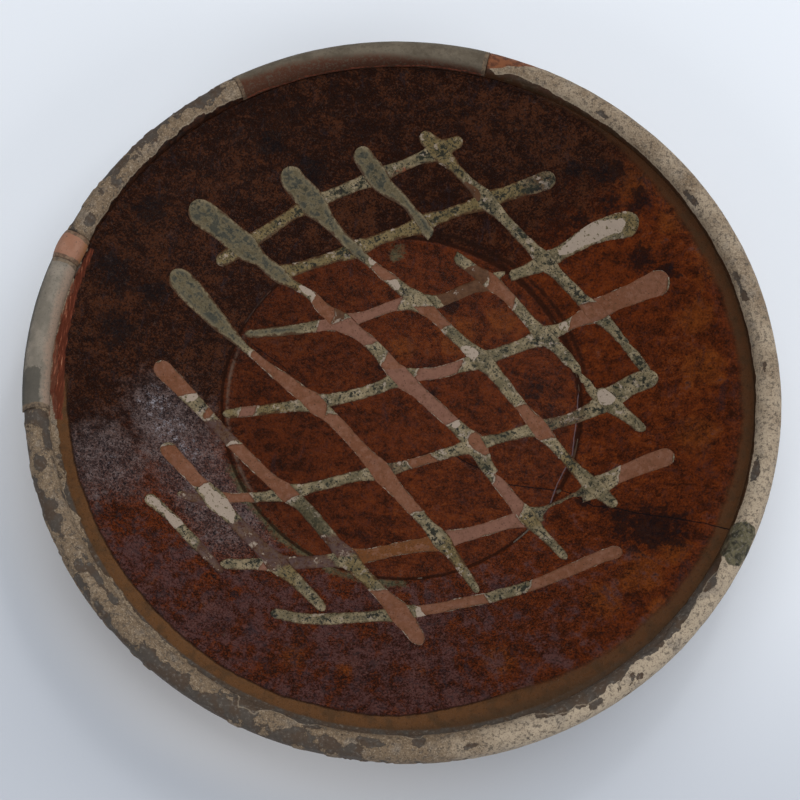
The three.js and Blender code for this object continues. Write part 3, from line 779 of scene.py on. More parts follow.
def make_trail(name, trail, wear, others, seed):
    """A ribbon of slip along its line, flaked where the wear says, and closed underneath."""
    widest = max(trail.head, trail.middle, trail.tail)
    bm = bmesh.new()
    steps, rows = int(trail.length / GRID), int(2.1 * widest / GRID)
    bmesh.ops.create_grid(bm, x_segments=steps, y_segments=rows, size=1)
    border = [edge for edge in bm.edges if edge.is_boundary]
    skirt = bmesh.ops.extrude_edge_only(bm, edges=border)
    low = [item for item in skirt["geom"] if isinstance(item, bmesh.types.BMVert)]
    bmesh.ops.translate(bm, verts=low, vec=(0, 0, -1))
    close_underneath(bm, low)
    bmesh.ops.recalc_face_normals(bm, faces=bm.faces[:])
    ribbon = new_mesh(name, bm)

    grid = points_of(ribbon) * MM
    along = (grid[:, 0] + 1) / 2 * trail.length
    side = grid[:, 1]
    top = grid[:, 2] > -0.5
    bank = np.stack([along, np.sign(side) * 50, 0 * along], axis=1)
    half = trail.half(along) * (1 + 0.12 * lumps(bank, 12, seed) * np.abs(side))
    half = half + 0.38 * ragged(bank, 3.2, seed + 50, 3) * np.abs(side) ** 3 * smooth(half, 0.5, 2)
    x, y = trail.place(along)
    run = trail.direction(along)
    x = x - run[1] * side * half
    y = y + run[0] * side * half
    radius = np.hypot(x, y)
    flat = np.stack([x, y, np.zeros(len(x))], axis=1)

    gone, masks = worn_places(trail, wear, along, side, half, flat, seed)
    crown = SLIP_RELIEF * np.sqrt(np.clip(half / trail.middle, 0, 1.2)) * (1 - 0.55 * masks["thin"])
    dome = np.clip(1 - np.abs(side) ** 3.2, 0, 1)
    slip = -SLIP_SINK + (crown + SLIP_SINK) * dome ** 0.75
    slip = slip + dome * (0.1 * ragged(flat, 4, seed + 300, 2) + 0.07 * ragged(flat, 1.6, seed + 400, 2))
    slip = slip + 0.14 * ragged(flat, 2.2, seed + 500, 2) * smooth(np.abs(side), 0.6, 0.95)
    floor = -SLIP_SINK + (BARE_RELIEF + SLIP_SINK) * np.clip(1 - np.abs(side) ** 14, 0, 1)
    floor = floor + 0.02 * ragged(flat, 1.8, seed + 600, 2)
    height = slip + (floor - slip) * smooth(gone, -0.2, 0.2)
    height = height - LOST_SINK * masks.pop("lost")
    for other in others:
        height = height - CROSSING_SINK * smooth(other.cover(flat), *LAID_OVER)
    base = clay_top(radius) + GLAZE_RISE
    base = base + glaze_waves(np.stack([x, y, base], axis=1)) - 0.75 * groove(radius)
    z = base + np.where(top, height, -TRAIL_UNDERSIDE)
    move_points(ribbon, np.stack([x, y, z], axis=1))

    mark(ribbon, gone=gone, side=side, along=along + seed, across=side * half, edge=half * (1 - np.abs(side)),
         **masks)
    return ribbon


# The plaster fills

def make_fill(name, start, end, bulge, seed):
    """One fill: the rolled rim's shape above the floor of its break, between two angles."""
    floor = BREAK_FLOOR + FILL_SEAT
    outline = [(RIM_RADIUS, floor)] + crown_steps(30) + [(RIM_INSIDE, floor)]
    steps = int(math.radians(end - start) * CROWN_R / 0.7)
    fill = spun(name, outline, steps, start + WALL_GAP, end - WALL_GAP, closed=True)
    points = points_of(fill)
    facing = outward(fill)
    radius = np.hypot(points[:, 0], points[:, 1])
    angle = angle_of(points)
    distance = rim_distance(radius, points[:, 2])
    above = smooth(points[:, 2], floor + 0.1, floor + 1)
    share = (angle - start) / (end - start)
    swell = bulge * np.sin(math.pi * np.clip(share, 0, 1)) ** 0.7
    depth = 0.14 + 0.14 * ragged(points, 22, seed, 2) + 0.05 * ragged(points, 3, seed + 1, 3)
    points = points + facing * (above * (swell - np.maximum(depth, 0)))[:, None]
    points[:, 2] = np.minimum(points[:, 2], HEIGHT)
    move_points(fill, points)
    to_end = np.minimum(angle - start, end - angle) * math.radians(1) * CROWN_R
    mark(fill, distance=distance, share=share, seam=to_end + 0.5 * ragged(points, 3, seed + 2, 3))
    return fill


# Finishes

WALL_MIDDLE = 100           # radius where streaks that run outwards have their true breadth


class Amount:
    """A number that changes over a surface, so that a finish can be written as sums."""

    def __init__(self, finish, socket):
        self.finish = finish
        self.socket = socket

    def maths(self, operation, first, second=0.0):
        return self.finish.amount("ShaderNodeMath", {"operation": operation}, {0: first, 1: second})

    def __add__(self, other):
        return self.maths("ADD", self, other)

    def __radd__(self, other):
        return self.maths("ADD", other, self)

    def __sub__(self, other):
        return self.maths("SUBTRACT", self, other)

    def __rsub__(self, other):
        return self.maths("SUBTRACT", other, self)

    def __mul__(self, other):
        return self.maths("MULTIPLY", self, other)

    def __rmul__(self, other):
        return self.maths("MULTIPLY", other, self)

    def __truediv__(self, other):
        return self.maths("DIVIDE", self, other)

    def __abs__(self):
        return self.maths("ABSOLUTE", self)

    def most(self, other):
        return self.maths("MAXIMUM", self, other)

    def least(self, other):
        return self.maths("MINIMUM", self, other)

    def stirred(self, *grains):
        """Made uneven by grains about 0.5, each with how strongly it tells."""
        total = self
        for grain, strength in grains:
            total = total + (grain - 0.5) * strength
        return total

    def rise(self, low, high):
        """0 below low and 1 above high, with a soft run between; falls if high is the lower."""
        settings = {"interpolation_type": "SMOOTHSTEP", "clamp": True}
        ends = (high, low, 1.0, 0.0) if low > high else (low, high, 0.0, 1.0)
        return self.finish.amount("ShaderNodeMapRange", settings, dict(enumerate((self, *ends))))

    def shade(self, low, high, first, second):
        """A colour that runs from the first to the second as the amount rises."""
        return self.finish.mix(self.rise(low, high), first, second)


class Finish:
    """A material whose detail is made by nodes, in millimetres on the object."""

    def __init__(self, name):
        self.material = bpy.data.materials.new(name)
        self.material.use_nodes = True
        self.tree = self.material.node_tree
        here = self.node("ShaderNodeTexCoord").outputs["Object"]
        scaled = self.node("ShaderNodeVectorMath", {"operation": "SCALE"}, {0: here, "Scale": 1 / MM})
        self.place = scaled.outputs[0]

    def node(self, kind, settings=None, values=None):
        """A node of any type, with its settings first and then its sockets' values or links."""
        node = self.tree.nodes.new(kind)
        for name, setting in (settings or {}).items():
            setattr(node, name, setting)
        self.join(node, values or {})
        return node

    def join(self, node, values):
        """Gives a node's sockets their values or links."""
        for key, value in values.items():
            socket = node.inputs[key]
            if isinstance(value, Amount):
                value = value.socket
            if isinstance(value, bpy.types.NodeSocket):
                self.tree.links.new(value, socket)
            elif isinstance(value, tuple) and socket.type == "RGBA":
                socket.default_value = (*value, 1)
            else:
                socket.default_value = value

    def amount(self, kind, settings, values, output=0):
        return Amount(self, self.node(kind, settings, values).outputs[output])

    def mark(self, name):
        settings = {"attribute_type": "GEOMETRY", "attribute_name": name}
        return self.amount("ShaderNodeAttribute", settings, None, "Fac")

    def moved(self, shift, stretch=(1, 1, 1)):
        """The place on the object, moved and stretched, so that no two grains fall together."""
        values = {"Vector": self.place, "Location": (shift, shift, shift), "Scale": stretch}
        return self.node("ShaderNodeMapping", None, values).outputs[0]

    def noise(self, vector, scale, detail, roughness, warp):
        values = {"Vector": vector, "Scale": scale, "Detail": detail, "Roughness": roughness,
                  "Distortion": warp}
        return self.amount("ShaderNodeTexNoise", {"noise_dimensions": "3D"}, values)

    def grain(self, size, detail=3.0, roughness=0.55, warp=0.0, shift=0.0, stretch=(1, 1, 1)):
        """Random amounts about 0.5 in grains of one size, in millimetres."""
        return self.noise(self.moved(shift, stretch), 1 / size, detail, roughness, warp)

    def flow_grain(self, along, across, shift):
        """Random amounts in streaks that follow a trail: their length and breadth in millimetres."""
        parts = {0: self.mark("along") * (1 / along), 1: self.mark("across") * (1 / across), 2: shift}
        return self.noise(self.node("ShaderNodeCombineXYZ", None, parts).outputs[0], 1.0, 4.0, 0.6, 0.0)

    def ray_grain(self, across, along):
        """Random amounts in streaks that run outwards on the dish, sized in millimetres at its wall."""
        turn = WALL_MIDDLE / across
        parts = {0: self.mark("ray_x") * turn, 1: self.mark("ray_y") * turn,
                 2: self.mark("ray_out") * (1 / along)}
        return self.noise(self.node("ShaderNodeCombineXYZ", None, parts).outputs[0], 1.0, 5.0, 0.7, 0.5)

    def dots(self, size, shift):
        """Distance from scattered points, in parts of their spacing: small inside round dots."""
        values = {"Vector": self.moved(shift), "Scale": 1 / size, "Randomness": 1.0}
        return self.amount("ShaderNodeTexVoronoi", {"feature": "F1"}, values, "Distance")

    def mix(self, amount, first, second):
        values = {0: amount, 6: first, 7: second}
        return self.node("ShaderNodeMix", {"data_type": "RGBA"}, values).outputs[2]

    def layers(self, base, *coats):
        """Colours laid over each other, each with its amount."""
        for amount, colour in coats:
            base = self.mix(amount, base, colour)
        return base

    def finish(self, colour, roughness, height, shine):
        """Joins the colour, the roughness, the fine relief in millimetres and the shine to the shader."""
        bump = self.node("ShaderNodeBump", None, {"Strength": 1.0, "Distance": MM, "Height": height})
        values = {"Base Color": colour, "Roughness": roughness, "Specular IOR Level": shine,
                  "Normal": bump.outputs[0]}
        self.join(self.tree.nodes["Principled BSDF"], values)
        return self.material


# Colours, linear
CRUST_TAN = (0.19, 0.132, 0.082)
CRUST_PALE = (0.43, 0.345, 0.25)
CRUST_GREY = (0.19, 0.165, 0.14)
SPALL_GREY = (0.072, 0.058, 0.047)
SPALL_BROWN = (0.075, 0.05, 0.034)
PIT_DARK = (0.03, 0.02, 0.014)
RED_CLAY = (0.2, 0.078, 0.04)
BUFF_CLAY = (0.3, 0.16, 0.095)
SOOT = (0.06, 0.045, 0.036)
CHIP_ORANGE = (0.21, 0.075, 0.032)
CHIP_BROWN = (0.1, 0.036, 0.018)
DRIP_DARK = (0.026, 0.024, 0.015)
DRIP_GREEN = (0.125, 0.108, 0.062)
GLAZE_RED = (0.112, 0.0205, 0.003)
GLAZE_DEEP = (0.05, 0.0098, 0.0018)
GLAZE_RUST = (0.17, 0.043, 0.006)
GLAZE_DARK = (0.011, 0.003, 0.001)
GLAZE_UMBER = (0.05, 0.0155, 0.0055)
GLAZE_BLACK = (0.005, 0.003, 0.0035)
GLAZE_GLINT = (0.105, 0.07, 0.056)
GLAZE_VIOLET = (0.074, 0.037, 0.037)
GLAZE_PLUM = (0.034, 0.0105, 0.008)
GLAZE_SLATE = (0.02, 0.0135, 0.0165)
DUST_GREY = (0.15, 0.125, 0.12)
OLIVE_STAIN_AND_SHEEN = (0.1, 0.09, 0.045)
HAIRLINE_PALE = (0.2, 0.15, 0.17)
GROOVE_HIGHLIGHT = (0.13, 0.09, 0.065)
HAZE_SHEEN_GREY = (0.16, 0.125, 0.12)
HAZE_SHEEN_DARK = (0.06, 0.04, 0.038)
SPARKLE_WHITE = (0.33, 0.31, 0.34)
POOL_OCHRE = (0.125, 0.055, 0.02)
POOL_OLIVE = (0.05, 0.03, 0.015)
POOL_SHADE = (0.04, 0.021, 0.009)
POOL_BROWN = (0.052, 0.019, 0.007)
RAW_DARK = (0.09, 0.022, 0.011)
RAW_RED = (0.21, 0.054, 0.028)
RAW_ORANGE = (0.36, 0.16, 0.09)
SLIP_CREAM = (0.236, 0.182, 0.106)
SLIP_OLIVE = (0.11, 0.088, 0.048)
SLIP_GREY = (0.138, 0.114, 0.068)
SLIP_DULL = (0.084, 0.067, 0.037)
SLIP_BLUE = (0.038, 0.04, 0.032)
SLIP_HONEY = (0.15, 0.104, 0.038)
SLIP_LIGHT = (0.31, 0.25, 0.168)
SLIP_MOSS = (0.052, 0.042, 0.02)
SLIP_WHITE = (0.34, 0.27, 0.215)
SLIP_RED = (0.22, 0.05, 0.02)
SPECK_GREEN = (0.018, 0.019, 0.012)
SPECK_BLACK = (0.009, 0.009, 0.0085)
BARE_SALMON = (0.172, 0.072, 0.04)
BARE_LIGHT = (0.22, 0.108, 0.071)
BARE_ORANGE = (0.15, 0.057, 0.028)
BARE_PINK = (0.185, 0.09, 0.064)
BARE_DARK = (0.05, 0.028, 0.018)
BARE_PIT = (0.04, 0.022, 0.014)
BARE_LINE = (0.03, 0.016, 0.01)
TONED_BROWN = (0.095, 0.043, 0.02)
TONED_OCHRE = (0.135, 0.048, 0.014)
TONED_DARK = (0.06, 0.026, 0.012)
TONED_PIT = (0.04, 0.02, 0.008)
PLASTER_GREY = (0.27, 0.23, 0.185)
PLASTER_OLIVE = (0.15, 0.122, 0.088)
PLASTER_BROWN = (0.085, 0.066, 0.045)
PLASTER_STONE = (0.17, 0.148, 0.118)
PLASTER_DARK = (0.06, 0.055, 0.045)
PLASTER_BEIGE = (0.3, 0.215, 0.16)
PLASTER_RUST = (0.095, 0.03, 0.011)
PLASTER_UMBER = (0.035, 0.01, 0.005)
PLUG_PINK = (0.35, 0.185, 0.125)
PLUG_RED = (0.3, 0.14, 0.085)
PLUG_ORANGE = (0.3, 0.13, 0.055)
PAPER_PAINTED_DIM = (0.585, 0.62, 0.685)
PAPER_PAINTED_BRIGHT = (0.88, 0.92, 0.985)
PAPER_PAINTED_LIGHT = (0.93, 0.93, 0.95)
PAPER_FIBRE = (0.8, 0.8, 0.8)
SKY_BLUE = (0.9, 0.95, 1.0)


def crust_coats(finish):
    """The rim's crust: its colour and its fine relief."""
    broad = finish.grain(14, 4)
    fine = finish.grain(1.6, 5, 0.65)
    sand = finish.grain(0.55, 3, 0.7, shift=40)
    colour = finish.layers(
        finish.mark("pale").stirred((broad, 1.1)).shade(0.15, 0.8, CRUST_TAN, CRUST_PALE),
        (finish.grain(7, 4, shift=9).rise(0.52, 0.7) * 0.55, CRUST_GREY),
        (fine.rise(0.5, 0.62) * 0.72, SPALL_GREY),
        (fine.rise(0.44, 0.3) * 0.5, CRUST_PALE),
        (sand.rise(0.53, 0.66) * 0.7, SPALL_BROWN),
        (sand.rise(0.46, 0.34) * 0.6, CRUST_PALE),
        (finish.grain(0.9, 2, 0.5, shift=77).rise(0.68, 0.74) * 0.8, PIT_DARK),
    )
    return colour, 0.2 * fine + 0.16 * sand + 0.1 * broad


def under_crust(finish):
    """What shows where the crust has spalled."""
    fine = finish.grain(1.2, 5, 0.65, shift=21)
    return finish.layers(
        finish.grain(6, 4, shift=31).shade(0.4, 0.6, SPALL_GREY, SPALL_BROWN),
        (fine.rise(0.52, 0.7) * 0.6, CRUST_GREY),
        (fine.rise(0.42, 0.3) * 0.6, PIT_DARK),
    )


def worn_edges(finish):
    """The fraying that the edges share, in millimetres, and where the crust has spalled."""
    fray = (finish.grain(0.9, 4, 0.65, shift=5) - 0.5) * 1.1
    spall = finish.mark("spall") + fray * 1.3
    return fray, spall.stirred((finish.grain(2.4, 5, 0.7, shift=15), 2.6)).rise(-0.08, 0.12)


def rim_lining(finish, under):
    """The rim's inner face below the crust: stained brown, and darkest where it is shaded."""
    wrinkle = finish.grain(1.8, 4, 0.65, shift=16)
    stain = finish.layers(
        finish.grain(5, 4, shift=3).shade(0.35, 0.65, POOL_SHADE, POOL_BROWN),
        (finish.grain(1.4, 4).rise(0.55, 0.7) * 0.5, SPALL_BROWN),
        (finish.grain(2.4, 4, shift=6).rise(0.58, 0.7) * 0.25, CRUST_TAN),
        (finish.mark("shaded"), wrinkle.shade(0.4, 0.65, GLAZE_DARK, GLAZE_UMBER)),
    )
    return finish.mix(finish.mark("stained"), under, stain)


def outer_clay(finish, rings):
    """The bare clay outside, with smoke and turning rings."""
    return finish.layers(
        finish.grain(26, 4, shift=2).shade(0.35, 0.65, RED_CLAY, BUFF_CLAY),
        (finish.grain(38, 5, 0.55, warp=0.4, shift=7).rise(0.47, 0.62) * 0.75, SOOT),
        (rings.rise(0.5, 0.75) * 0.3, CRUST_TAN),
        (finish.grain(1.1, 4, 0.7, shift=17).rise(0.58, 0.7) * 0.5, PIT_DARK),
        (finish.dots(3.4, 8).rise(0.16, 0.08) * 0.6, CRUST_PALE),
    )


def body_finish():
    finish = Finish("fired clay")
    fray, spalled = worn_edges(finish)
    crust, crust_height = crust_coats(finish)
    under = under_crust(finish)
    edge = finish.mark("crust") + fray
    inside = edge.rise(0.1, -0.1)
    rings = finish.grain(2.2, 3, 0.5, stretch=(0.12, 0.12, 1.0))
    low_down = finish.mark("distance").stirred((finish.grain(9, 4, shift=13), 22))
    drip_colour = finish.layers(
        finish.grain(2.6, 5, 0.65, warp=0.5).shade(0.38, 0.62, DRIP_DARK, DRIP_GREEN),
        (finish.grain(1.1, 4, 0.7, shift=17).rise(0.52, 0.66) * 0.6, CRUST_GREY),
    )
    colour = finish.layers(
        crust,
        (spalled, under),
        ((edge.rise(0.9, 0.3) * edge.rise(-0.1, 0.1)) * 0.35, CRUST_PALE),
        (inside, rim_lining(finish, under)),
        ((finish.mark("drip") + fray).rise(-0.2, 0.4) * (1 - inside * 0.3), drip_colour),
        (finish.mark("chip").rise(0.4, 0.6), finish.grain(2.4, 4).shade(0.4, 0.6, CHIP_ORANGE, CHIP_BROWN)),
        ((finish.mark("raw_edge") + fray * 0.4).rise(0.4, 0.6),
         finish.grain(1.5, 4).shade(0.4, 0.6, RAW_RED, RAW_ORANGE)),
        (low_down.rise(OVER_CROWN + 5, OVER_CROWN + 25), outer_clay(finish, rings)),
    )
    rough = 0.82 - 0.3 * inside * finish.mark("stained")
    return finish.finish(colour, rough, crust_height * (1 - spalled * 0.7) + 0.1 * rings, 0.3)


def open_glaze(finish, cloud, mottle, fleck):
    """The glaze over the floor and wall: its colour, its fine relief, and where it is hazy, which is partly
    corrosion and partly a painted sheen.
    """
    broad = finish.grain(30, 5, 0.6, warp=0.6)
    dust = finish.grain(0.5, 2, 0.6, shift=44)
    pore = finish.grain(0.8, 3, 0.7, shift=124) - 0.5
    ink = finish.grain(1.7, 4, 0.6, warp=0.8, shift=64)
    scrape = finish.grain(4.5, 5, 0.7, stretch=(1, 0.35, 1), warp=0.7, shift=94)
    strokes = finish.grain(5, 5, 0.72, stretch=(0.45, 1, 1), warp=1.2, shift=104)
    glint = finish.grain(1.6, 4, 0.75, warp=1.2, shift=134)
    grit = finish.dots(1.1, 66).stirred((cloud, 0.8))
    rays = (finish.ray_grain(4.5, 17) - 0.5) * finish.mark("ray_out").rise(45, 85)
    # dusk: darker glaze in the upper left, and on the far side partly painted shade
    dusk = finish.mark("dusk").stirred((broad, 0.7), (mottle, 0.7)).rise(0.12, 0.75)
    violet = (finish.mark("violet") * 0.6).stirred((broad, 1.1), (cloud, 2.1), (mottle, 0.9)) + rays * 1.6
    violet = violet.rise(0.3, 0.72)
    rust = finish.mark("rust").stirred((cloud, 1.2), (mottle, 0.9)).rise(0.35, 0.9)
    blotch = finish.mark("blotch").stirred((cloud, 2.2), (mottle, 2.2)).rise(0.45, 0.85)
    haze_and_sheen = finish.mark("haze_and_sheen").stirred((cloud, 0.7), (mottle, 1.1)).rise(0.2, 0.95)
    painted_sparkle = finish.mark("painted_sparkle") * (finish.grain(2.2, 4, 0.7, shift=54) - 0.3) * 3
    # where the glaze is weathered, which also sets where painted sheen and glints lie
    dirt_and_sheen = (finish.mark("haze_and_sheen") * 0.8 + finish.mark("violet") * 0.6 + finish.mark("dusk") * 0.5).least(1.0)
    ink_patch = finish.grain(6, 5, 0.75, warp=1.0, shift=114).stirred((mottle, 0.5)).rise(0.55, 0.64)
    tone = cloud.stirred((mottle, 1.1), (strokes, 1.1), (fleck, 1.1)) + rays * cloud.rise(0.4, 0.62) * 1.1
    tone = tone + pore * (1.3 + 1.7 * dirt_and_sheen)
    # darker still on the far side, partly painted shade
    dusk_tone = tone.stirred((broad, 0.9)) - finish.mark("far") * 0.06
    colour = finish.layers(
        tone.shade(0.25, 0.75, GLAZE_DEEP, GLAZE_RED),
        (tone.stirred((broad, 1)).rise(0.62, 1.0) * 0.5, GLAZE_RUST),
        (rust * (0.38 + tone.rise(0.4, 0.8) * 0.32), GLAZE_RUST),
        (violet * 0.78, tone.shade(0.3, 0.8, GLAZE_PLUM, GLAZE_VIOLET)),
        (tone.rise(0.4, 0.08) * 0.7, GLAZE_DARK),
        (ink_patch * (0.25 + 0.45 * dirt_and_sheen), GLAZE_SLATE),
        (dusk * 0.93, dusk_tone.shade(0.4, 0.78, GLAZE_DARK, GLAZE_UMBER)),
        (finish.mark("dim") * 0.55, tone.shade(0.2, 0.8, GLAZE_DARK, GLAZE_DEEP)),
        (blotch * 0.85, tone.shade(0.35, 0.8, GLAZE_BLACK, GLAZE_DARK)),
        # hazy glaze: partly corrosion, partly a painted sheen
        (haze_and_sheen * (0.4 + dust.rise(0.42, 0.6) * 0.45), tone.shade(0.25, 0.8, HAZE_SHEEN_DARK, HAZE_SHEEN_GREY)),
        (haze_and_sheen * fleck.rise(0.52, 0.6) * 0.7, GLAZE_SLATE),
        (fleck.rise(0.54, 0.63) * (0.5 + 0.35 * dirt_and_sheen), GLAZE_BLACK),
        (scrape.rise(0.56, 0.7) * (0.35 + 0.3 * dirt_and_sheen), GLAZE_SLATE),
        (ink.rise(0.6, 0.68) * (0.42 + 0.35 * dirt_and_sheen), GLAZE_BLACK),
        (grit.rise(0.24, 0.15) * (0.4 + 0.45 * dirt_and_sheen), GLAZE_BLACK),
        (dust.rise(0.66, 0.78) * (dirt_and_sheen * 0.5 + 0.04), DUST_GREY),
        (glint.rise(0.57, 0.68) * (0.06 + dirt_and_sheen * 0.34), GLAZE_GLINT),
        # painted sparkle: white specks for glints of light
        (painted_sparkle.rise(0.5, 1.2) * dust.rise(0.4, 0.56) * 0.9, SPARKLE_WHITE),
    )
    relief = 0.08 * mottle + 0.1 * fleck + (0.1 + 0.2 * dirt_and_sheen) * pore
    return colour, relief + dirt_and_sheen * (0.7 * strokes + 0.4 * scrape), haze_and_sheen


def pooled_glaze(finish, cloud, mottle, fleck, fray, crisp):
    """The thick glaze under the rim: where it lies, and its colour."""
    ochre = finish.mark("ochre")
    pool = finish.mark("pool")
    edge = pool + fray * 0.7
    cover = edge.rise(-0.25, 0.25) * crisp + edge.stirred((cloud, 4)).rise(-1.4, 1.6) * (1 - crisp)
    colour = finish.layers(
        finish.mix(ochre, POOL_BROWN, POOL_OCHRE),
        (finish.grain(5, 3, shift=71).rise(0.45, 0.65) * 0.5, finish.mix(ochre, POOL_SHADE, POOL_OLIVE)),
        (pool.rise(3.2, 6.5) * 0.55, POOL_OLIVE),
        (fleck.rise(0.55, 0.68) * 0.4, GLAZE_DARK),
        (mottle.rise(0.56, 0.7) * 0.35, POOL_BROWN),
    )
    return cover, colour


def crack_line(finish, name, size, wander):
    """Distance from a crack that wanders a little."""
    return abs(finish.mark(name).stirred((finish.grain(size, 2), wander)))


def glaze_finish():
    finish = Finish("lead glaze")
    fray, spalled = worn_edges(finish)
    cloud = finish.grain(9, 5, 0.65, warp=0.5, shift=14)
    mottle = finish.grain(3.4, 5, 0.68, shift=24)
    fleck = finish.grain(1.1, 4, 0.7, shift=34)
    colour, relief, haze_and_sheen = open_glaze(finish, cloud, mottle, fleck)
    olive = finish.mark("olive").stirred((mottle, 1.2), (fleck, 0.8)).rise(0.3, 0.7)
    groove_shade = finish.mark("groove").stirred((mottle, 1.3)).rise(0.35, 0.85)
    ochre = finish.mark("ochre")
    crisp = ochre.rise(0.4, 0.7)
    pool, pool_colour = pooled_glaze(finish, cloud, mottle, fleck, fray, crisp)
    pool_line = abs(finish.mark("pool") + fray * 0.5).rise(0.6, 0.15)
    crust, crust_height = crust_coats(finish)
    under = under_crust(finish)
    distance = finish.mark("distance")
    on_crust = (finish.mark("crust") + fray).rise(-0.1, 0.1) * distance.rise(-5.5, -4.5)
    bare_band = (distance + fray * 0.8).rise(-2.2, -1.4) * ochre.rise(0.35, 0.6)
    strip = finish.mark("raw_edge")
    streak = finish.grain(1.3, 4, 0.65, stretch=(2.2, 0.2, 1), shift=12)
    raw = (strip + fray * 0.6).stirred((streak, 1.6)).rise(-0.1, 0.5)
    colour = finish.layers(
        colour,
        # olive: a stain, and beside the groove partly a painted sheen
        (olive * 0.8, OLIVE_STAIN_AND_SHEEN),
        (olive * fleck.rise(0.48, 0.58) * 0.8, SPECK_GREEN),
        # painted shade in the groove
        (groove_shade * 0.8, GLAZE_DARK),
        # a painted highlight inside the groove
        (finish.mark("groove_highlight") * mottle.rise(0.35, 0.6) * 0.6, GROOVE_HIGHLIGHT),
        (pool, pool_colour),
        (pool_line * (0.2 + crisp * 0.5), GLAZE_DARK),
        (bare_band, under),
        (on_crust, finish.mix(spalled, crust, under)),
        (raw * 0.9, streak.shade(0.49, 0.66, RAW_DARK, RAW_RED)),
        (raw * streak.rise(0.6, 0.7) * strip.rise(0.3, 1.2), RAW_ORANGE),
        (crack_line(finish, "crack", 1.2, 0.5).rise(0.32, 0.12) * 0.9, GLAZE_BLACK),
        (crack_line(finish, "short_crack", 1.5, 0.4).rise(0.3, 0.1) * 0.8, GLAZE_BLACK),
        (crack_line(finish, "hairline", 4, 0.8).rise(0.3, 0.1) * 0.35, HAIRLINE_PALE),
    )
    matt = (on_crust + bare_band + raw).least(1.0)
    rough = (0.28 + 0.16 * haze_and_sheen).stirred((mottle, 0.2)) + 0.5 * matt + 0.45 * groove_shade
    return finish.finish(colour, rough, relief + crust_height * on_crust, 0.09)


def slip_coats(finish, shift, white, fray, cloud, mottle, fleck, crumb):
    """The slip itself, under its own thin glaze, with all that has happened to it."""
    grey = finish.mark("grey")
    streak = finish.flow_grain(7, 1.1, 3 + shift)
    blot = finish.grain(1.25, 4, 0.7, warp=0.4, shift=61 + shift)
    drift = finish.grain(3.6, 4, 0.62, warp=0.4, shift=81 + shift)
    group = finish.grain(7.5, 3, 0.5, shift=71 + shift)
    yellow = finish.mark("yellow").stirred((mottle, 1.2)).rise(0.3, 0.8)
    brown = (finish.mark("brown") + fray * 0.6).rise(0.4, 0.6)
    thin = finish.mark("thin")
    green = finish.mark("green")
    faint = (finish.mark("faint") + fray * 0.5).stirred((mottle, 1.2)).rise(0.25, 0.75)
    margin = finish.mark("edge")
    inner = margin.rise(0.5, 2.4)
    quiet = grey * 0.07 + white * 0.1 - thin * 0.03 - green * 0.05
    blots = blot.stirred((group, 0.65), (crumb, 0.25)) + (inner - 0.6) * 0.06 - quiet
    dots = finish.dots(0.8, 51 + shift).stirred((crumb, 1.2), (group, 0.9)) + quiet
    specks = blots.rise(0.585, 0.615).most(dots.rise(0.3, 0.2) * 0.85)
    patchy = mottle.rise(0.4, 0.6)
    melting = grey.most(yellow)
    soft_edge = margin - melting * 0.35 + fray * 1.5 + (mottle - 0.5) * (1.6 + melting * 1.6)
    return finish.layers(
        cloud.shade(0.38, 0.62, SLIP_CREAM, SLIP_OLIVE),
        (mottle.rise(0.52, 0.66) * 0.6, SLIP_LIGHT),
        (mottle.rise(0.5, 0.36) * 0.55, SLIP_OLIVE),
        (yellow * 0.75, SLIP_HONEY),
        (yellow * mottle.rise(0.5, 0.36) * 0.6, SLIP_MOSS),
        (grey * 0.9, (drift * 0.6 + streak * 0.4).shade(0.42, 0.56, SLIP_DULL, SLIP_GREY)),
        (grey * (1 - inner * 0.7) * mottle.rise(0.44, 0.6) * 0.7, SLIP_CREAM),
        (grey * inner * drift.stirred((mottle, 0.7), (streak, 0.3)).rise(0.46, 0.6) * 0.9, SLIP_BLUE),
        (grey * fleck.rise(0.56, 0.66) * 0.4, SLIP_MOSS),
        (finish.mark("red") * patchy * finish.mark("side").rise(0.2, 0.7), SLIP_RED),
        (thin * (0.25 + patchy * 0.55), POOL_BROWN),
        (blots.rise(0.52, 0.6) * 0.55 * (1 - white), SLIP_BLUE),
        (specks * (0.92 - grey * 0.4), mottle.shade(0.45, 0.6, SPECK_GREEN, SPECK_BLACK)),
        (soft_edge.rise(0.75, 0.05) * (0.75 - white * 0.5), GLAZE_UMBER),
        (green * (0.3 + patchy * 0.55), SLIP_MOSS),
        (faint * 0.8, mottle.shade(0.4, 0.62, GLAZE_VIOLET, GLAZE_DEEP)),
        (white * 0.95, crumb.shade(0.58, 0.66, SLIP_WHITE, SLIP_OLIVE)),
        (brown, mottle.shade(0.4, 0.65, TONED_BROWN, TONED_DARK)),
    )


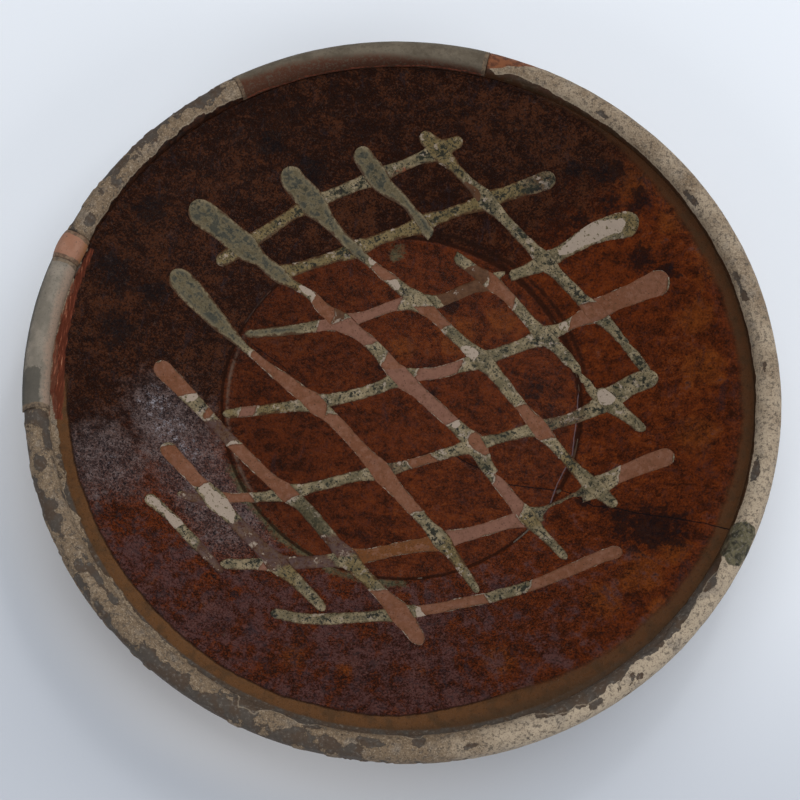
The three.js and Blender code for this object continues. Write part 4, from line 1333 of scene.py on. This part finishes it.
def flaked_clay(finish, shift, gone, cloud, mottle, fleck, crumb):
    """The clay that shows where slip has flaked away."""
    return finish.layers(
        finish.grain(16, 3, shift=3 + shift).shade(0.35, 0.65, BARE_SALMON, BARE_ORANGE),
        (finish.mark("pink").rise(0.4, 0.6) * 0.8, BARE_PINK),
        (finish.mark("ochre").rise(0.4, 0.6), fleck.shade(0.58, 0.7, TONED_OCHRE, TONED_PIT)),
        (mottle.rise(0.5, 0.62) * 0.5, BARE_LIGHT),
        (mottle.rise(0.47, 0.36) * 0.45, TONED_BROWN),
        (cloud.rise(0.56, 0.66) * 0.35, BARE_PINK),
        (gone.stirred((crumb, 1.6)).rise(0.9, 0.1) * 0.4, TONED_BROWN),
        (crumb.rise(0.62, 0.7) * 0.5, BARE_LIGHT),
        (fleck.rise(0.6, 0.7) * 0.5, BARE_DARK),
        (finish.dots(1.5, 91 + shift).rise(0.2, 0.12) * 0.6, BARE_PIT),
    )


def slip_finish(name, shift):
    """Slip and the clay in its gaps; the shift gives each set of trails its own grains."""
    finish = Finish(name)
    fray = (finish.grain(0.8, 4, 0.65, shift=5 + shift) - 0.5) * 0.9
    cloud = finish.grain(5.5, 4, 0.6, warp=0.3, shift=14 + shift)
    mottle = finish.grain(2.2, 5, 0.7, shift=24 + shift)
    fleck = finish.grain(0.6, 3, 0.65, shift=34 + shift)
    crumb = finish.grain(1.3, 3, 0.6, shift=48 + shift)
    side = finish.mark("side")
    white = (finish.mark("white") + fray * 0.8).stirred((crumb, 1.6), (mottle, 1.2)).rise(0.45, 0.52)
    slip = slip_coats(finish, shift, white, fray, cloud, mottle, fleck, crumb)
    gone = finish.mark("gone") + fray
    bare = gone.rise(-0.06, 0.06)
    # the cream lip where slip broke away: partly the slip's own edge, partly a painted highlight brighter on
    # one side
    lip_width = 0.45 + mottle.rise(0.4, 0.6) * 0.9
    lip_and_highlight = (gone + lip_width).rise(0, 0.12) * gone.rise(0.04, -0.05) * (0.45 + side.rise(0.6, -0.4) * 0.55)
    shadow_line = gone.rise(-0.05, 0.02) * gone.rise(0.3, 0.1) * side.rise(0.3, 0.9)
    colour = finish.layers(
        slip,
        (bare, flaked_clay(finish, shift, gone, cloud, mottle, fleck, crumb)),
        (lip_and_highlight * crumb.rise(0.4, 0.55) * 0.8, SLIP_WHITE),
        (shadow_line * 0.6, BARE_LINE),
    )
    rough = (0.42 + 0.36 * bare.most(white)).stirred((mottle, 0.1))
    return finish.finish(colour, rough, (0.09 * fleck + 0.08 * mottle) * (1 - bare * 0.5), 0.15)


def plaster_finish(name, shift, light, dark, inner, inner_to, lean=0, deep=0, red_line=0, edge_dark=0.1,
                   dark_from=2):
    """Toned plaster: light on the crown, darker outside, and a warm inner face that leans outwards.
    Past the share of its length that dark_from gives, if it is below 1, the crown is dark too."""
    finish = Finish(name)
    distance = finish.mark("distance")
    share = finish.mark("share")
    cloud = finish.grain(9, 4, 0.6, shift=14 + shift)
    fine = finish.grain(1.3, 5, 0.68, shift=24 + shift)
    brushed = finish.grain(2.4, 4, 0.6, stretch=(0.35, 0.35, 1.6), shift=34 + shift)
    wander = (cloud - 0.5) * 5 + (fine - 0.5) * 2.2
    leaning = distance - share * lean
    seam = finish.mark("seam") + wander * 0.35
    past = (share - dark_from).stirred((cloud, 0.12), (fine, 0.06))
    dark_crown = past.rise(0, 0.02) * (distance + wander).rise(8, 9)
    deep_shade = (leaning + wander * 0.5).rise(inner_to + 1, inner_to - 4.5) * (1 - share * 0.5) * deep
    red = abs((distance - 2.6).stirred((cloud, 5))).rise(0.8, 0.3) * fine.rise(0.4, 0.55) * red_line
    colour = finish.layers(
        cloud.shade(0.35, 0.65, light, dark),
        (brushed.rise(0.46, 0.62) * 0.5, light),
        (brushed.rise(0.48, 0.36) * 0.45, dark),
        ((leaning + wander).rise(inner_to, inner_to - 3.5), inner),
        (deep_shade, PLASTER_UMBER),
        (fine.rise(0.5, 0.64) * 0.6, dark),
        (fine.rise(0.44, 0.34) * 0.3, light),
        (red, RAW_RED),
        ((distance + wander * 0.5).rise(OVER_CROWN - 4.5, OVER_CROWN - 2) * edge_dark, PLASTER_DARK),
        (dark_crown * 0.75, PLASTER_DARK),
        (seam.rise(1.9, 1.5) * 0.8, fine.shade(0.4, 0.6, CRUST_TAN, SPALL_BROWN)),
        (finish.grain(0.7, 3, 0.7, shift=44 + shift).rise(0.58, 0.7) * 0.6, PLASTER_DARK),
    )
    return finish.finish(colour, 0.74 + 0.1 * (fine - 0.5), 0.16 * fine + 0.12 * brushed, 0.3)


PAINTED_LIGHT_REACH = (166, 138)     # mm from the plate's middle over which a painted light on the near left, lifting its shadow, dies away
PAINTED_FALLOFF = (-150, 30)     # mm over which a painted falloff of light brightens the paper towards the far side


def floor_finish():
    """Pale paper with a painted falloff of light that brightens it towards the far side, and a painted light
    close to the plate at the near left that lifts its shadow.
    """
    finish = Finish("pale paper")
    across, away = (finish.amount("ShaderNodeSeparateXYZ", None, {0: finish.place}, i) for i in (0, 1))
    out = finish.amount("ShaderNodeVectorMath", {"operation": "LENGTH"}, {0: finish.place}, "Value")
    # painted light on the paper beside the plate at the near left, which lifts its shadow
    painted_light_near_left = ((across + away) * -math.sqrt(0.5) / out).rise(0.1, 1.0) * out.rise(*PAINTED_LIGHT_REACH)
    fibre = finish.grain(0.8, 3, 0.6)
    pale = finish.layers(
        # a painted falloff of light across the paper
        (across * 0.1 + away * 0.95).shade(*PAINTED_FALLOFF, PAPER_PAINTED_DIM, PAPER_PAINTED_BRIGHT),
        (painted_light_near_left, PAPER_PAINTED_LIGHT),
        (fibre.rise(0.4, 0.7) * 0.03, PAPER_FIBRE),
    )
    return finish.finish(pale, 0.9, 0.01 * fibre, 0.2)


# The object

fired_clay = body_finish()
lead_glaze = glaze_finish()
finish_piece(make_body(), fired_clay, "red_clay", "clay_body")
finish_piece(make_glaze(), lead_glaze, "lead_glaze", "glaze_coat")

lower_trails = [Trail(*sizes) for sizes in LOWER_TRAILS]
upper_trails = [Trail(*sizes, neck) for sizes, neck in zip(UPPER_TRAILS, UPPER_NECKS)]
for lower in lower_trails:
    for upper in upper_trails:
        find_crossings(lower, upper)
for level, trails, wears, others, seed, shift in (("lower", lower_trails, LOWER_WEAR, upper_trails, 0, 0),
                                                  ("upper", upper_trails, UPPER_WEAR, [], 500, 83)):
    slip = slip_finish(f"{level} slip", shift)
    for i, (trail, wear) in enumerate(zip(trails, wears), 1):
        ribbon = make_trail(f"{level}_trail_{i}", trail, wear, others, 1000 * i + seed)
        finish_piece(ribbon, slip, f"{level}_slip", f"{level}_slip_trail_{i}")

# Each fill: node, slot, how far it swells above the rim, seed and finish
fills = (
    ("rim_fill_top", "grey_plaster", 0.1, 84, plaster_finish(
        "toned plaster, far rim", 0, PLASTER_OLIVE, PLASTER_BROWN, PLASTER_RUST, inner_to=6, lean=7,
        deep=0.9, red_line=0.8, edge_dark=0.3)),
    ("rim_fill_left", "grey_plaster", 0.1, 91, plaster_finish(
        "toned plaster, left rim", 19, PLASTER_GREY, PLASTER_STONE, PLASTER_BEIGE, inner_to=9,
        edge_dark=0.95, dark_from=0.74)),
    ("rim_fill_plug", "salmon_plaster", 0.7, 91, plaster_finish(
        "salmon plaster", 37, PLUG_PINK, PLUG_RED, PLUG_ORANGE, inner_to=7)),
)
for node, slot, bulge, seed, plaster in fills:
    finish_piece(make_fill(f"{node}_plaster", *RIM_FILLS[node], bulge, seed), plaster, slot, node)

# The stage
FLOOR_REACH = 3             # metres from the plate's middle to the floor's edges

bm = bmesh.new()
bmesh.ops.create_grid(bm, x_segments=8, y_segments=8, size=FLOOR_REACH)
floor = new_mesh("paper_floor", bm)
floor.data.materials.append(floor_finish())

# Light: a large soft lamp beyond the plate, two weaker ones near it and at the right, a small one
# that gleams in the glaze, and a dim sky. Each lamp: degrees from +X, degrees above the table,
# metres away, metres across, watts, and whether it is mirrored in the glaze (the large one is
# cross-polarised, as for a museum picture)
LAMPS = {
    "soft_lamp": (66, 60, 1.6, 2.1, 19.2, False),
    "near_fill": (235, 28, 1.6, 0.8, 6.5, True),
    "right_fill": (-25, 28, 1.6, 0.8, 6.5, True),
    "sheen_lamp": (70, 54, 1.6, 0.16, 1.6, True),
}
SKY = 0.26


def add_lamp(name, turn, rise, away, size, power, mirrored):
    data = bpy.data.lights.new(name, "AREA")
    data.shape = "SQUARE"
    data.size = size
    data.energy = power
    lamp = bpy.data.objects.new(name, data)
    lamp.visible_glossy = mirrored
    bpy.context.scene.collection.objects.link(lamp)
    turn, rise = math.radians(turn), math.radians(rise)
    to_lamp = Vector((math.cos(rise) * math.cos(turn), math.cos(rise) * math.sin(turn), math.sin(rise)))
    lamp.location = to_lamp * away
    lamp.rotation_euler = to_lamp.to_track_quat("Z", "Y").to_euler()


for name, places in LAMPS.items():
    add_lamp(name, *places)
world = bpy.data.worlds.new("sky")
world.use_nodes = True
sky = world.node_tree.nodes["Background"]
sky.inputs["Color"].default_value = (*SKY_BLUE, 1)
sky.inputs["Strength"].default_value = SKY
bpy.context.scene.world = world
bpy.context.scene.view_settings.view_transform = "Standard"

# The camera, as the photograph was taken
VIEW_RISE = 71.647          # degrees above the table
VIEW_ROLL = 5.733
VIEW_AWAY = 700             # millimetres from the place that it is aimed at
VIEW_AIM = (-0.786, -9.197, HEIGHT)
LENS = 86.26                # millimetres, on a sensor of this width
SENSOR = 36

rise = math.radians(VIEW_RISE)
roll = math.radians(VIEW_ROLL)
back = Vector((0, -math.cos(rise), math.sin(rise)))
right = Vector((1, 0, 0))
up = Vector((0, math.sin(rise), math.cos(rise)))
axis_x = math.cos(roll) * right + math.sin(roll) * up
axis_y = math.cos(roll) * up - math.sin(roll) * right
camera_data = bpy.data.cameras.new("camera")
camera_data.lens = LENS
camera_data.sensor_width = SENSOR
camera = bpy.data.objects.new("camera", camera_data)
bpy.context.scene.collection.objects.link(camera)
turned = Matrix((axis_x, axis_y, back)).transposed().to_4x4()
turned.translation = (Vector(VIEW_AIM) + back * VIEW_AWAY) * MM
camera.matrix_world = turned
bpy.context.scene.camera = camera
